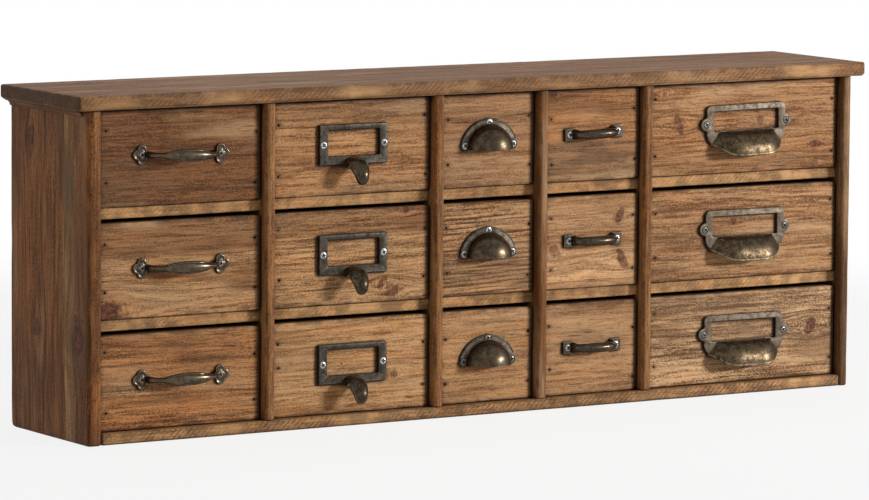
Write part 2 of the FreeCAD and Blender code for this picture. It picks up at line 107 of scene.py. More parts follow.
def cleaned(mesh, sharp, merge=MERGE):
    """Merges doubled points, turns faces outwards and smooths all but the edges above an angle."""
    bm = bmesh.new()
    bm.from_mesh(mesh)
    bmesh.ops.remove_doubles(bm, verts=bm.verts, dist=merge)
    bmesh.ops.recalc_face_normals(bm, faces=bm.faces)
    bm.to_mesh(mesh)
    bm.free()
    mesh.polygons.foreach_set("use_smooth", [True] * len(mesh.polygons))
    mesh.set_sharp_from_angle(angle=math.radians(sharp))
    return mesh


def mesh_from(name, points, faces, sharp):
    """Clean mesh from points and faces."""
    mesh = bpy.data.meshes.new(name)
    mesh.from_pydata([tuple(p) for p in points], [], faces)
    return cleaned(mesh, sharp)


def bridge(points, rings, closed=True):
    """Adds rings of points and returns the faces between them; closed rings join round and are capped."""
    base = len(points)
    count = len(rings[0])
    for ring in rings:
        if len(ring) != count:
            raise ValueError("rings of %d and %d points can't be joined" % (count, len(ring)))
        points.extend(ring)
    faces = []
    for r in range(len(rings) - 1):
        low = base + r * count
        for i in range(count if closed else count - 1):
            j = (i + 1) % count
            faces.append((low + i, low + j, low + count + j, low + count + i))
    if closed:
        faces.append(tuple(range(base + count - 1, base - 1, -1)))
        top = base + (len(rings) - 1) * count
        faces.append(tuple(range(top, top + count)))
    return faces


def swept(name, rings, sharp=60):
    """Closed mesh through rings of points."""
    points = []
    return mesh_from(name, points, bridge(points, rings), sharp)


def two_skins(outer, inner):
    """Points and faces of an open shell's two skins, and the number of the inner skin's first point."""
    points = []
    faces = bridge(points, outer, closed=False)
    base = len(points)
    faces += [tuple(reversed(f)) for f in bridge(points, inner, closed=False)]
    return points, faces, base


def set_attribute(mesh, name, values):
    """Stores one float for each point."""
    data = mesh.attributes.get(name) or mesh.attributes.new(name, "FLOAT", "POINT")
    data.data.foreach_set("value", values)


def mark_convexity(mesh, gain=2.0):
    """Writes how far each point stands proud of its neighbours, for rubbed high spots and dirty hollows."""
    bm = bmesh.new()
    bm.from_mesh(mesh)
    bm.normal_update()
    proud = []
    for v in bm.verts:
        near = [e.other_vert(v).co for e in v.link_edges]
        if not near:
            proud.append(0.0)
            continue
        middle = sum(near, Vector()) / len(near)
        reach = sum((n - v.co).length for n in near) / len(near)
        proud.append(max(-1.0, min(1.0, gain * (v.co - middle).dot(v.normal) / max(reach, 1e-9))))
    bm.free()
    set_attribute(mesh, "proud", proud)


def joined(name, meshes):
    """One mesh out of several, in order; their material slots are joined too."""
    bm = bmesh.new()
    slots = []
    for mesh in meshes:
        before = len(bm.faces)
        shift = len(slots)
        bm.from_mesh(mesh)
        slots.extend(mesh.materials)
        bm.faces.ensure_lookup_table()
        for face in bm.faces[before:]:
            face.material_index += shift
    out = bpy.data.meshes.new(name)
    bm.to_mesh(out)
    bm.free()
    for material in slots:
        out.materials.append(material)
    out.set_sharp_from_angle(angle=math.radians(45))
    return out


def lerp(a, b, t):
    """Value between a and b."""
    return a + (b - a) * t


def arc(radii, start, stop, steps, middle=(0.0, 0.0), z=0.0):
    """Points of an elliptic arc from one angle to another, in degrees."""
    turns = [math.radians(lerp(start, stop, i / steps)) for i in range(steps + 1)]
    return [Vector((middle[0] + radii[0] * math.cos(a), middle[1] + radii[1] * math.sin(a), z)) for a in turns]


def rounded_rectangle(half_w, half_h, radius, cuts=(1, 1)):
    """Points of a rectangle with round corners, anticlockwise; cuts divide its width and its height."""
    radius = min(radius, half_w * 0.98, half_h * 0.98)
    x, y = half_w - radius, half_h - radius
    corners = [arc((radius, radius), 90 * k, 90 * k + 90, CORNER_STEPS, middle)
               for k, middle in enumerate(((x, y), (-x, y), (-x, -y), (x, -y)))]
    points = []
    for k, corner in enumerate(corners):
        points += corner
        end = corners[(k + 1) % 4][0]
        parts = cuts[k % 2]
        points.extend(corner[-1].lerp(end, i / parts) for i in range(1, parts))
    return points


# ---- node helpers --------------------------------------------------------------------------------------
class Nodes:
    """Short calls for building a node tree; a value may be a number, a tuple or another node's output."""

    def __init__(self, tree):
        self.tree = tree

    def add(self, kind, inputs=None, **settings):
        """New node with its settings and its inputs, by name or number."""
        node = self.tree.nodes.new(kind)
        for key, value in settings.items():
            setattr(node, key, value)
        for key, value in (inputs or {}).items():
            self.put(node.inputs[key], value)
        return node

    def put(self, socket, value):
        """Links an output to a socket or writes a plain value into it; three numbers make a full colour."""
        if isinstance(value, bpy.types.NodeSocket):
            self.tree.links.new(value, socket)
        elif socket.type == "RGBA" and len(value) == 3:
            socket.default_value = tuple(value) + (1.0,)
        else:
            socket.default_value = value

    def math(self, operation, a, b=0.5, c=0.5, clamp=False):
        return self.add("ShaderNodeMath", {0: a, 1: b, 2: c}, operation=operation, use_clamp=clamp).outputs[0]

    def times(self, a, b, clamp=False):
        return self.math("MULTIPLY", a, b, clamp=clamp)

    def plus(self, total, *values):
        for value in values:
            total = self.math("ADD", total, value)
        return total

    def less(self, a, b):
        return self.math("SUBTRACT", a, b)

    def line(self, value, factor, offset):
        """A value times a factor plus an offset."""
        return self.math("MULTIPLY_ADD", value, factor, offset)

    def most(self, a, b):
        return self.math("MAXIMUM", a, b)

    def vector(self, operation, a, b=(0, 0, 0), scale=None):
        node = self.add("ShaderNodeVectorMath", {0: a, 1: b}, operation=operation)
        if scale is not None:
            self.put(node.inputs["Scale"], scale)
        return node.outputs["Value" if operation == "LENGTH" else "Vector"]

    def cloud(self, vector, stretch, low=None, high=None, detail=3.0, roughness=0.55, shift=(0, 0, 0),
              output=0):
        """Noise that repeats this often along each axis, as a smooth step between two limits if they're given."""
        place = self.add("ShaderNodeMapping", {"Vector": vector, "Location": shift, "Scale": stretch}).outputs[0]
        value = self.add("ShaderNodeTexNoise", {"Vector": place, "Scale": 1.0, "Detail": detail,
                                                "Roughness": roughness, "Distortion": 0.0}).outputs[output]
        return value if low is None else self.between(value, low, high)

    def between(self, value, low, high, to_low=0.0, to_high=1.0):
        """Smooth step of a value from low to high."""
        return self.add("ShaderNodeMapRange", {"Value": value, "From Min": low, "From Max": high,
                                               "To Min": to_low, "To Max": to_high},
                        interpolation_type="SMOOTHSTEP").outputs[0]

    def mix(self, factor, a, b, blend="MIX"):
        """Colour between a and b."""
        node = self.add("ShaderNodeMix", data_type="RGBA", blend_type=blend)
        for socket, value in ((0, factor), (6, a), (7, b)):
            self.put(node.inputs[socket], value)
        return node.outputs[2]

    def split(self, vector):
        return self.add("ShaderNodeSeparateXYZ", {0: vector}).outputs

    def pack(self, x, y, z):
        return self.add("ShaderNodeCombineXYZ", {0: x, 1: y, 2: z}).outputs[0]

    def ramp(self, value, stops):
        """Grey of a value between stops of (place, grey)."""
        node = self.add("ShaderNodeValToRGB", {0: value})
        elements = node.color_ramp.elements
        while len(elements) < len(stops):
            elements.new(0.5)
        for element, (place, grey) in zip(elements, stops):
            element.position = place
            element.color = (grey, grey, grey, 1)
        return node.outputs[0]

    def attribute(self, name):
        return self.add("ShaderNodeAttribute", attribute_name=name).outputs["Fac"]

    def openness(self, samples, **inputs):
        """Ambient occlusion: 1 in the open, 0 where other surfaces are near."""
        return self.add("ShaderNodeAmbientOcclusion", inputs, samples=samples).outputs["AO"]

    def object_place(self):
        return self.add("ShaderNodeTexCoord").outputs["Object"]

    def surface(self, shader, kind="Material"):
        """Makes a shader what the material or the world shows."""
        self.put(self.add("ShaderNodeOutput" + kind).inputs["Surface"], shader.outputs[0])

    def principled(self, colour, roughness, height, strength, depth, **fixed):
        """Surface with relief; fixed values go to the shader's own sockets, a space written as _."""
        bump = self.add("ShaderNodeBump", {"Height": height, "Strength": strength, "Distance": depth})
        shader = self.add("ShaderNodeBsdfPrincipled", {"Base Color": colour, "Roughness": roughness,
                                                       "Normal": bump.outputs[0]})
        for key, value in fixed.items():
            shader.inputs[key.replace("_", " ")].default_value = value
        self.surface(shader)


def blank(block):
    """Empties the node tree of a new material or world for building."""
    block.use_nodes = True
    block.node_tree.nodes.clear()
    return Nodes(block.node_tree)


def new_group(kind, name, inputs, outputs):
    """Empty node group with named sockets, each (name, kind) or (name, kind, default), and its two ends."""
    tree = bpy.data.node_groups.new(name, kind)
    for label, socket_kind, *default in inputs:
        socket = tree.interface.new_socket(label, in_out="INPUT", socket_type="NodeSocket" + socket_kind)
        if default:
            socket.default_value = default[0]
    for label, socket_kind in outputs:
        tree.interface.new_socket(label, in_out="OUTPUT", socket_type="NodeSocket" + socket_kind)
    ends = tree.nodes.new("NodeGroupInput").outputs, tree.nodes.new("NodeGroupOutput").inputs
    return (Nodes(tree),) + ends


def group(build, name):
    """Node group of this name, built on its first use."""
    return bpy.data.node_groups.get(name) or build(name)


def shade(colour, factor):
    """Colour made darker or paler by a factor."""
    return tuple(factor * c for c in colour)


# ---- pine ------------------------------------------------------------------------------------------------
# Layers of grain: how often the noise repeats along and across it in a metre, detail, roughness, the limits
# between which it shows, and a shift that sets it apart from the others.
GRAIN = {
    "fibre": (15.0, 400.0, 3.0, 0.70, 0.38, 0.62, (0, 0, 0)),
    "fine": (480.0, 780.0, 2.0, 0.70, 0.38, 0.62, (0, 0, 0)),
    "streak": (7.0, 190.0, 4.0, 0.68, 0.42, 0.62, (0, 0, 0)),
    "band": (3.6, 48.0, 3.0, 0.55, 0.36, 0.66, (0, 0, 0)),
    "patch": (7.0, 19.0, 4.0, 0.62, 0.40, 0.64, (0, 0, 0)),
    "dashes": (75.0, 620.0, 3.0, 0.70, 0.56, 0.64, (0, 0, 0)),
    "cracks": (24.0, 420.0, 3.0, 0.60, 0.65, 0.70, (0, 0, 0)),
    "warm": (11.0, 70.0, 3.0, 0.55, 0.45, 0.70, (0, 0, 0)),
    "pale": (4.0, 27.0, 4.0, 0.60, 0.54, 0.70, (5.0, 3.0, 1.0)),
    "shady": (6.0, 33.0, 4.0, 0.60, 0.54, 0.68, (1.0, 7.0, 2.0)),
}
RINGS_PER_METRE = 210.0
WARM_TINT = (1.0, 0.78, 0.58)
PALE_PATCH = (0.56, 0.355, 0.19)
PIT = (0.03, 0.018, 0.01)


def pine_group(name):
    """Sawn, weathered pine; its grain runs along X, and the face looks along Z."""
    n, given, result = new_group(
        "ShaderNodeTree", name,
        [("Vector", "Vector"), ("Seed", "Float"), ("Light", "Color"), ("Dark", "Color"), ("Grey", "Color")]
        + [(label, "Float") for label in ("Depth", "Greying", "Ring share", "Speckle", "Mottle")],
        [("Color", "Color"), ("Height", "Float"), ("Tone", "Float")])
    place = n.vector("ADD", given["Vector"], n.vector("SCALE", (1.37, 2.11, 0.73), scale=given["Seed"]))
    drift = n.vector("SUBTRACT", n.cloud(place, (3.0, 16.0, 16.0), detail=2.0, output=1), (0.5, 0.5, 0.5))
    place = n.vector("ADD", place, n.vector("MULTIPLY", drift, (0.0, 0.0050, 0.0050)))
    layer = {key: n.cloud(place, (along, across, across), low, high, detail, roughness, shift)
             for key, (along, across, detail, roughness, low, high, shift) in GRAIN.items()}

    # growth rings: cones about a pith that lies beside the board
    swing = n.times(n.cloud(place, (2.2, 9.0, 9.0), detail=2.0), 0.045)
    pith = n.times(n.plus(n.math("FRACT", n.times(given["Seed"], 0.37)), -0.5), 0.16)
    across = n.less(n.split(given["Vector"])[1], pith)
    radius = n.plus(n.vector("LENGTH", n.pack(0.0, across, 0.035)), swing, n.times(n.split(place)[0], 0.035))
    turn = n.math("FRACT", n.times(radius, RINGS_PER_METRE))
    rings = n.ramp(turn, ((0.0, 0.0), (0.45, 0.12), (0.86, 1.0), (1.0, 0.0)))
    ringed = n.times(rings, given["Ring share"])

    dark = n.plus(n.times(layer["band"], 0.34), n.times(layer["streak"], 0.44), n.times(ringed, 0.34),
                  n.line(layer["fibre"], 0.56, -0.30), n.line(layer["fine"], 0.62, -0.31))
    dark = n.times(dark, n.times(given["Depth"], 1.2), clamp=True)
    colour = n.mix(dark, given["Light"], given["Dark"])
    colour = n.mix(n.times(layer["warm"], 0.45), colour, WARM_TINT, "MULTIPLY")
    greyed = n.mix(dark, given["Grey"], n.mix(0.6, given["Grey"], given["Dark"]))
    colour = n.mix(n.times(layer["patch"], given["Greying"], clamp=True), colour, greyed)
    for key, amount, tone in (("pale", 0.50, PALE_PATCH), ("shady", 0.56, given["Dark"])):
        colour = n.mix(n.times(layer[key], n.times(given["Mottle"], amount)), colour, tone)
    pits = n.times(layer["dashes"], n.line(layer["patch"], 0.7, 0.3))
    pits = n.times(pits, n.times(given["Speckle"], 0.6), clamp=True)
    pits = n.most(pits, n.times(layer["cracks"], 0.8))
    n.put(result["Color"], n.mix(pits, colour, n.mix(0.6, given["Dark"], PIT)))
    height = n.plus(n.times(layer["fibre"], 0.5), n.times(ringed, 0.35))
    n.put(result["Height"], n.less(height, n.times(layer["dashes"], 0.5)))
    n.put(result["Tone"], dark)
    return n.tree


def knot_group(name):
    """A knot: bends the grain round itself and says where its heart, its rim and its halo are."""
    n, given, result = new_group(
        "ShaderNodeTree", name,
        [("Vector", "Vector"), ("Bent", "Vector"), ("Middle", "Vector"), ("Radius", "Float"), ("Length", "Float"),
         ("Angle", "Float")],
        [("Bent", "Vector"), ("Heart", "Float"), ("Rim", "Float"), ("Halo", "Float")])
    radius = given["Radius"]
    offset = n.vector("MULTIPLY", n.vector("SUBTRACT", given["Vector"], given["Middle"]), (1, 1, 0))
    turned = n.add("ShaderNodeVectorRotate", {"Vector": offset, "Angle": n.times(given["Angle"], -1.0)},
                   rotation_type="Z_AXIS")
    x, y = n.split(turned.outputs[0])[:2]
    long = n.math("DIVIDE", x, n.times(radius, given["Length"]))
    ragged = n.less(n.cloud(given["Vector"], (120.0, 230.0, 40.0), detail=4.0, roughness=0.65), 0.5)
    distance = n.vector("LENGTH", n.pack(long, n.math("DIVIDE", y, radius), 0.0))
    distance = n.plus(distance, n.times(ragged, 1.9))

    # the grain is drawn towards the knot's middle line, less the farther away it is
    along, up = n.split(offset)[:2]
    reach = n.math("DIVIDE", along, n.times(radius, 5.0))
    lift = n.math("DIVIDE", up, n.times(radius, 2.6))
    pull = n.math("POWER", 2.718, n.times(n.plus(n.times(reach, reach), n.times(lift, lift)), -1.0))
    shift = n.times(n.times(up, pull), -0.92)
    n.put(result["Bent"], n.vector("ADD", given["Bent"], n.pack(0.0, shift, 0.0)))

    ripple = n.line(n.math("SINE", n.times(distance, 11.0)), 0.5, 0.5)
    rim = n.times(n.between(distance, 1.40, 1.05), n.between(distance, 0.60, 1.00))
    inner_rings = n.times(n.between(distance, 1.0, 0.8), n.times(ripple, 0.45))
    n.put(result["Heart"], n.between(distance, 1.35, 0.80))
    n.put(result["Rim"], n.most(rim, inner_rings))
    n.put(result["Halo"], n.times(n.between(distance, 2.9, 1.2), n.line(ripple, 0.6, 0.4)))
    return n.tree


class Plank:
    """What sets one board's look apart from the next: tones, weathering, knots and a dark or pale stretch."""

    def __init__(self, seed, light, dark, grey=(0.21, 0.125, 0.068), depth=0.85, greying=0.3, rings=0.5,
                 speckle=0.5, knots=(), band=None, band_colour=None, seams=(), wear=0.5, mottle=1.0):
        self.seed = seed
        self.light = light
        self.dark = dark
        self.grey = grey
        self.depth = depth              # contrast of the grain
        self.greying = greying
        self.rings = rings
        self.speckle = speckle
        self.knots = knots              # (along the grain, across it, radius in mm, length, degrees, strength)
        self.band = band                # (middle across the grain, half width in mm, amount)
        self.band_colour = band_colour
        self.seams = seams              # glue lines, in mm across the grain
        self.wear = wear                # how pale the rubbed arrises are
        self.mottle = mottle            # how strong the broad pale and shady patches are


GRAIN_AXES = {"X": "xzy", "Y": "yzx", "Z": "zxy", "TOP": "xyz", "EDGE": "zyx"}      # along, across, through
GLUE_LINE = (0.045, 0.026, 0.014)
KNOT_DARK, KNOT_RED = (0.055, 0.018, 0.010), (0.21, 0.072, 0.034)
SAW_MARK, SAWN_EDGE = (0.10, 0.045, 0.018), (0.60, 0.345, 0.155)
NAIL_STAIN = (0.03, 0.018, 0.011)
PAINTED_CORNER_SHADE, PAINTED_LEE_SHADOW, EDGE_GRIME = (0.022, 0.010, 0.005), (0.020, 0.009, 0.004), (0.05, 0.028, 0.015)
RUBBED = (0.50, 0.33, 0.18)


def seam_lines(n, plank, across):
    """Seed that changes at each glue line, and the lines themselves."""
    seed, lines = plank.seed, []
    for line in plank.seams:
        seed = n.plus(n.times(n.math("GREATER_THAN", across, line * MM), 3.7), seed)
        lines.append(n.between(n.math("ABSOLUTE", n.less(across, line * MM)), 0.0008, 0.0002))
    return seed, lines


def band_tones(n, plank, local, across):
    """Light and dark tone of the wood, changed inside the plank's band."""
    if not plank.band:
        return plank.light, plank.dark
    centre, half, amount = plank.band
    ragged = n.line(n.cloud(local, (12.0, 90.0, 10.0)), 0.016, -0.008)
    off = n.math("ABSOLUTE", n.less(n.plus(across, ragged), centre * MM))
    inside = n.times(n.between(off, (half + 4) * MM, (half - 4) * MM), amount)
    return (n.mix(inside, plank.light, shade(plank.band_colour, 1.45)),
            n.mix(inside, plank.dark, shade(plank.band_colour, 0.34)))


def with_knots(n, plank, knots, local, tone, colour):
    """Paints the plank's knots; the grain's tone shows through them."""
    for knot, (*_, strength) in zip(knots, plank.knots):
        core = n.mix(n.cloud(local, (200.0, 420.0, 90.0), 0.36, 0.64), KNOT_DARK, KNOT_RED)
        showing = n.between(tone, 0.0, 0.45, 0.70, 1.0)
        colour = n.mix(n.times(knot["Halo"], 0.42 * strength), colour, shade(plank.dark, 1.25))
        heart = n.times(knot["Heart"], showing)
        colour = n.mix(n.times(heart, 1.15 * strength, clamp=True), colour, core)
        rim = n.times(knot["Rim"], showing)
        colour = n.mix(n.times(rim, 0.65 * strength), colour, shade(plank.dark, 0.45))
    return colour


def with_saw_marks(n, local, axes, front, amount, colour):
    """Paler front edge of a board, at y = front from its middle, with the slanting marks of the saw."""
    slant = n.plus(axes["x"], n.times(axes["z"], -1.1), n.times(n.cloud(local, (40, 200, 40), detail=2.0), 0.0028))
    marks = n.between(n.math("SINE", n.times(slant, 980.0)), -0.2, 1.0)
    marks = n.times(marks, n.cloud(local, (150, 150, 300), 0.2, 0.5, detail=2.0))
    marks = n.times(marks, n.cloud(local, (70.0, 260.0, 260.0), 0.36, 0.54))
    where = n.cloud(local, (9.0, 9.0, 9.0), 0.38, 0.52, detail=1.0)
    edge = n.between(axes["y"], front + 0.003, front + 0.0005)
    marked = n.mix(marks, colour, SAW_MARK)
    colour = n.mix(n.times(edge, 0.66), colour, SAWN_EDGE)
    return n.mix(n.times(n.times(edge, where), amount), colour, marked)


def with_end_grain(n, plank, local, x, end, colour):
    """Dark, porous end grain on both ends of a board, end being half its length."""
    at_end = n.between(n.math("ABSOLUTE", x), end - 0.0018, end - 0.0004)
    pores = n.cloud(local, (300.0, 420.0, 420.0), 0.42, 0.60)
    return n.mix(n.times(at_end, 0.85), colour, n.mix(pores, shade(plank.dark, 0.5), shade(plank.light, 0.23)))


def with_wear_and_shade(n, plank, place, local, nails, colour):
    """Stains round the nails, painted shade in the corners and round the fittings, a painted shadow beside the
    fittings, and rubbed or dirty arrises.
    """
    for nail_x, nail_z in nails:
        offset = n.vector("SUBTRACT", local, (nail_x * MM, nail_z * MM, 0))
        away = n.vector("LENGTH", n.vector("MULTIPLY", offset, (0.7, 1.0, 0.0)))
        colour = n.mix(n.between(away, 0.0042, 0.0010, 0.0, 0.55), colour, NAIL_STAIN)
    proud = n.attribute("edge")
    patchy = n.cloud(place, (60.0, 60.0, 60.0))
    rubbed = n.times(n.between(proud, 0.55, 0.95), n.between(patchy, 0.40, 0.62))
    grime = n.times(n.between(proud, 0.02, 0.40), n.between(patchy, 0.62, 0.36))
    # painted shade: darker where other surfaces are near, in corners, gaps and round the fittings
    colour = n.mix(n.between(n.openness(6, Distance=0.013), 0.68, 0.22, 0.0, 0.80), colour, PAINTED_CORNER_SHADE)
    # painted shadow on the side of each fitting that faces away from the key light
    if nails:       # drawer fronts are darker on the side of their fittings that the light doesn't reach
        lee_shadow = n.openness(8, Distance=0.007, Normal=n.pack(0.72, -0.62, 0.30))
        colour = n.mix(n.between(lee_shadow, 0.88, 0.55, 0.0, 0.85), colour, PAINTED_LEE_SHADOW)
    colour = n.mix(n.times(grime, 0.62), colour, n.mix(0.80, colour, EDGE_GRIME))
    return n.mix(n.times(rubbed, plank.wear), colour, n.mix(0.7, colour, RUBBED))


def pine_material(name, plank, grain="X", middle=(0, 0, 0), sawn=None, nails=(), end_grain=None):
    """Pine whose grain runs along one axis; places on it are counted from middle.

    sawn is the front edge's y and how strong its saw marks are; nails are places in mm; end_grain is the
    half length of a board that shows its end grain.
    """
    material = bpy.data.materials.new(name)
    n = blank(material)
    place = n.object_place()
    axes = dict(zip("xyz", n.split(n.vector("SUBTRACT", place, tuple(middle)))))
    turned = [axes[axis] for axis in GRAIN_AXES[grain]]
    local = n.pack(*turned)
    across = turned[1]

    bent, knots = local, []
    for along, up, radius, length, angle, strength in plank.knots:
        knot = n.add("ShaderNodeGroup", {"Vector": local, "Bent": bent, "Middle": (along * MM, up * MM, 0),
                                         "Radius": radius * MM, "Length": length,
                                         "Angle": math.radians(angle)}, node_tree=group(knot_group, "Knot"))
        knots.append(knot.outputs)
        bent = knot.outputs["Bent"]
    seed, lines = seam_lines(n, plank, across)
    light, dark = band_tones(n, plank, local, across)
    wood = n.add("ShaderNodeGroup", {"Vector": bent, "Seed": seed, "Light": light, "Dark": dark,
                                     "Grey": plank.grey, "Depth": plank.depth, "Greying": plank.greying,
                                     "Ring share": plank.rings, "Speckle": plank.speckle,
                                     "Mottle": plank.mottle}, node_tree=group(pine_group, "Weathered pine"))
    height = wood.outputs["Height"]
    tone = wood.outputs["Tone"]
    colour = with_knots(n, plank, knots, local, tone, wood.outputs["Color"])
    for line in lines:
        colour = n.mix(n.times(line, 0.6), colour, GLUE_LINE)
        height = n.less(height, n.times(line, 0.6))
    if sawn:
        colour = with_saw_marks(n, local, axes, *sawn, colour)
    if end_grain:
        colour = with_end_grain(n, plank, local, axes["x"], end_grain, colour)
    colour = with_wear_and_shade(n, plank, place, local, nails, colour)
    n.principled(colour, n.between(tone, 0.0, 1.0, 0.52, 0.68), height, 0.75, 0.0008, Specular_IOR_Level=0.14)
    return material


# ---- boards ----------------------------------------------------------------------------------------------
EDGE_REACH = 0.0022             # how fast an arris's wear fades away from it
DENTS, NICKS = 42, 160          # how often dents, and the nicks in them, repeat in a metre
WEAR_BAND, WEAR_LIMIT = 0.004, 0.0016   # wear moves points this near to a side of the box, and by no more
SIDE_BAND = 0.0021              # points this near to a side's face belong to its rounded corner
EASE_STEPS = 5
BOARD_SHARP = 40                # edges above this angle stay sharp on boards


def side_stations(length, fine=True):
    """Places along a length: close together near both ends, wide apart between."""
    near = (0.0, 0.0012, 0.003, 0.006, 0.011) if fine else (0.0, 0.004, 0.011)
    near = [d for d in near if d < length * 0.45]
    start, stop = near[-1], length - near[-1]
    cuts = max(1, int((stop - start) / 0.022))
    between = [start + (stop - start) * i / cuts for i in range(1, cuts)]
    return near + between + [length - d for d in reversed(near)]


def corner_profile(width, height, radii):
    """Outline of a board's section; radii are for the corners (0,0), (w,0), (w,h), (0,h)."""
    corners = ((0, 0, 180), (width, 0, 270), (width, height, 0), (0, height, 90))
    sides = (width, height, width, height)
    points = []
    for k, (cx, cy, start) in enumerate(corners):
        r = radii[k]
        mx = cx + (r if cx == 0 else -r)
        my = cy + (r if cy == 0 else -r)
        for i in range(EASE_STEPS + 1):
            a = math.radians(start + 90 * i / EASE_STEPS)
            points.append((mx + r * math.cos(a), my + r * math.sin(a)))
        inner = sides[k] - r - radii[(k + 1) % 4]
        if inner > 0.004:
            dx, dy = ((1, 0), (0, 1), (-1, 0), (0, -1))[k]
            x0, y0 = points[-1]
            points.extend((x0 + dx * d, y0 + dy * d) for d in side_stations(inner, False)[1:-1])
    return points


def mark_edges(mesh, lo, hi):
    """Writes how near each point is to an arris of the board that fills this box."""
    near = []
    for v in mesh.vertices:
        depths = sorted(max(0.0, min(v.co[i] - lo[i], hi[i] - v.co[i])) for i in range(3))
        near.append(math.exp(-depths[1] / EDGE_REACH))
    set_attribute(mesh, "edge", near)
    return near


def soften(mesh, lo, hi, amount, seed):
    """Wears a board's arrises unevenly, never outwards."""
    middle = (Vector(lo) + Vector(hi)) / 2
    near = mark_edges(mesh, lo, hi)
    for v, edge in zip(mesh.vertices, near):
        p = v.co + Vector((seed, seed * 0.7, 0))
        dent = max(0.0, noise.noise(p * DENTS) + 0.35 * noise.noise(p * NICKS)) ** 1.5
        inward = middle - v.co
        for i in range(3):
            if min(v.co[i] - lo[i], hi[i] - v.co[i]) < WEAR_BAND:
                v.co[i] += math.copysign(min(amount * edge * dent, WEAR_LIMIT), inward[i])
    mesh.update()


def cut_rebate(ring, lo, hi):
    """Steps an outer side's section back where the back panel is let into it."""
    panel_lo, panel_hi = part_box("back_panel")
    step, inner = (panel_lo.x, hi.x) if lo.x < 0 else (panel_hi.x, lo.x)
    rear = max(p.y for p in ring)
    flat = [p for p in ring if p.y > rear - MERGE and lo.x + SIDE_BAND < p.x < hi.x - SIDE_BAND]
    for p in ring:
        if abs(p.x - inner) < SIDE_BAND and p.y > panel_lo.y:
            p.y = panel_lo.y
    flat.sort(key=lambda p: abs(p.x - inner))
    for p in flat:
        p.x = step
    if flat:
        flat[0].y = min(flat[0].y, panel_lo.y)


def round_off(radius, depth):
    """How far a quarter round of this radius stands back at a depth from its end."""
    return radius - math.sqrt(max(0.0, radius ** 2 - (radius - depth) ** 2)) if depth < radius else 0.0


def sweep_board(name, node, axis, radii, amount, seed, heel=0.0, end_ease=0.0012):
    """Board with its own section, swept along its length; axis X takes the section in YZ, axis Z in XY."""
    lo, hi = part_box(node)
    size = hi - lo
    along = "XYZ".index(axis)
    u, v = ((1, 2), (0, 1))[axis == "Z"]
    rings = []
    for s in side_stations(size[along]):
        inset = round_off(end_ease, min(s, size[along] - s))
        eased = [max(r - inset, 0.0002) for r in radii]
        ring = []
        for a, b in corner_profile(size[u] - 2 * inset, size[v] - 2 * inset, eased):
            p = Vector((0, 0, 0))
            p[along] = lo[along] + s
            p[u] = lo[u] + inset + a
            p[v] = lo[v] + inset + b
            if heel and p.z - lo.z < heel:
                p.y = min(p.y, hi.y - round_off(heel, p.z - lo.z))
            ring.append(p)
        if heel:
            cut_rebate(ring, lo, hi)
        rings.append(ring)
    mesh = swept(name, rings, BOARD_SHARP)
    soften(mesh, lo, hi, amount, seed)
    return mesh


def slab(name, lo, hi, thin, corner, ease, amount, seed, back_ease=0.0004):
    """Board seen from its broad face: round corners in outline, eased round the face; thin is its thickness axis."""
    size = hi - lo
    middle = (lo + hi) / 2
    u, v = [i for i in range(3) if i != thin]
    straight = size[thin] - ease
    levels = [(back_ease, 0.0), (0.0, back_ease), (0.0, straight / 2), (0.0, straight)]
    for i in range(1, EASE_STEPS + 1):
        a = math.pi / 2 * i / EASE_STEPS
        levels.append((ease * (1 - math.cos(a)), straight + ease * math.sin(a)))
    levels += [(ease + d, size[thin]) for d in (0.0015, 0.0045, 0.010)]
    cuts = [max(1, int(size[i] / 0.012)) for i in (u, v)]
    rings = []
    for inset, depth in levels:
        ring = []
        for q in rounded_rectangle(size[u] / 2 - inset, size[v] / 2 - inset, max(corner - inset, 0.0006), cuts):
            p = middle.copy()
            p[u] += q.x
            p[v] += q.y
            p[thin] = hi[thin] - depth if thin == 1 else lo[thin] + depth
            ring.append(p)
        rings.append(ring)
    mesh = swept(name, rings, BOARD_SHARP)
    soften(mesh, lo, hi, amount, seed)
    return mesh


UMBER = (0.12, 0.047, 0.017)

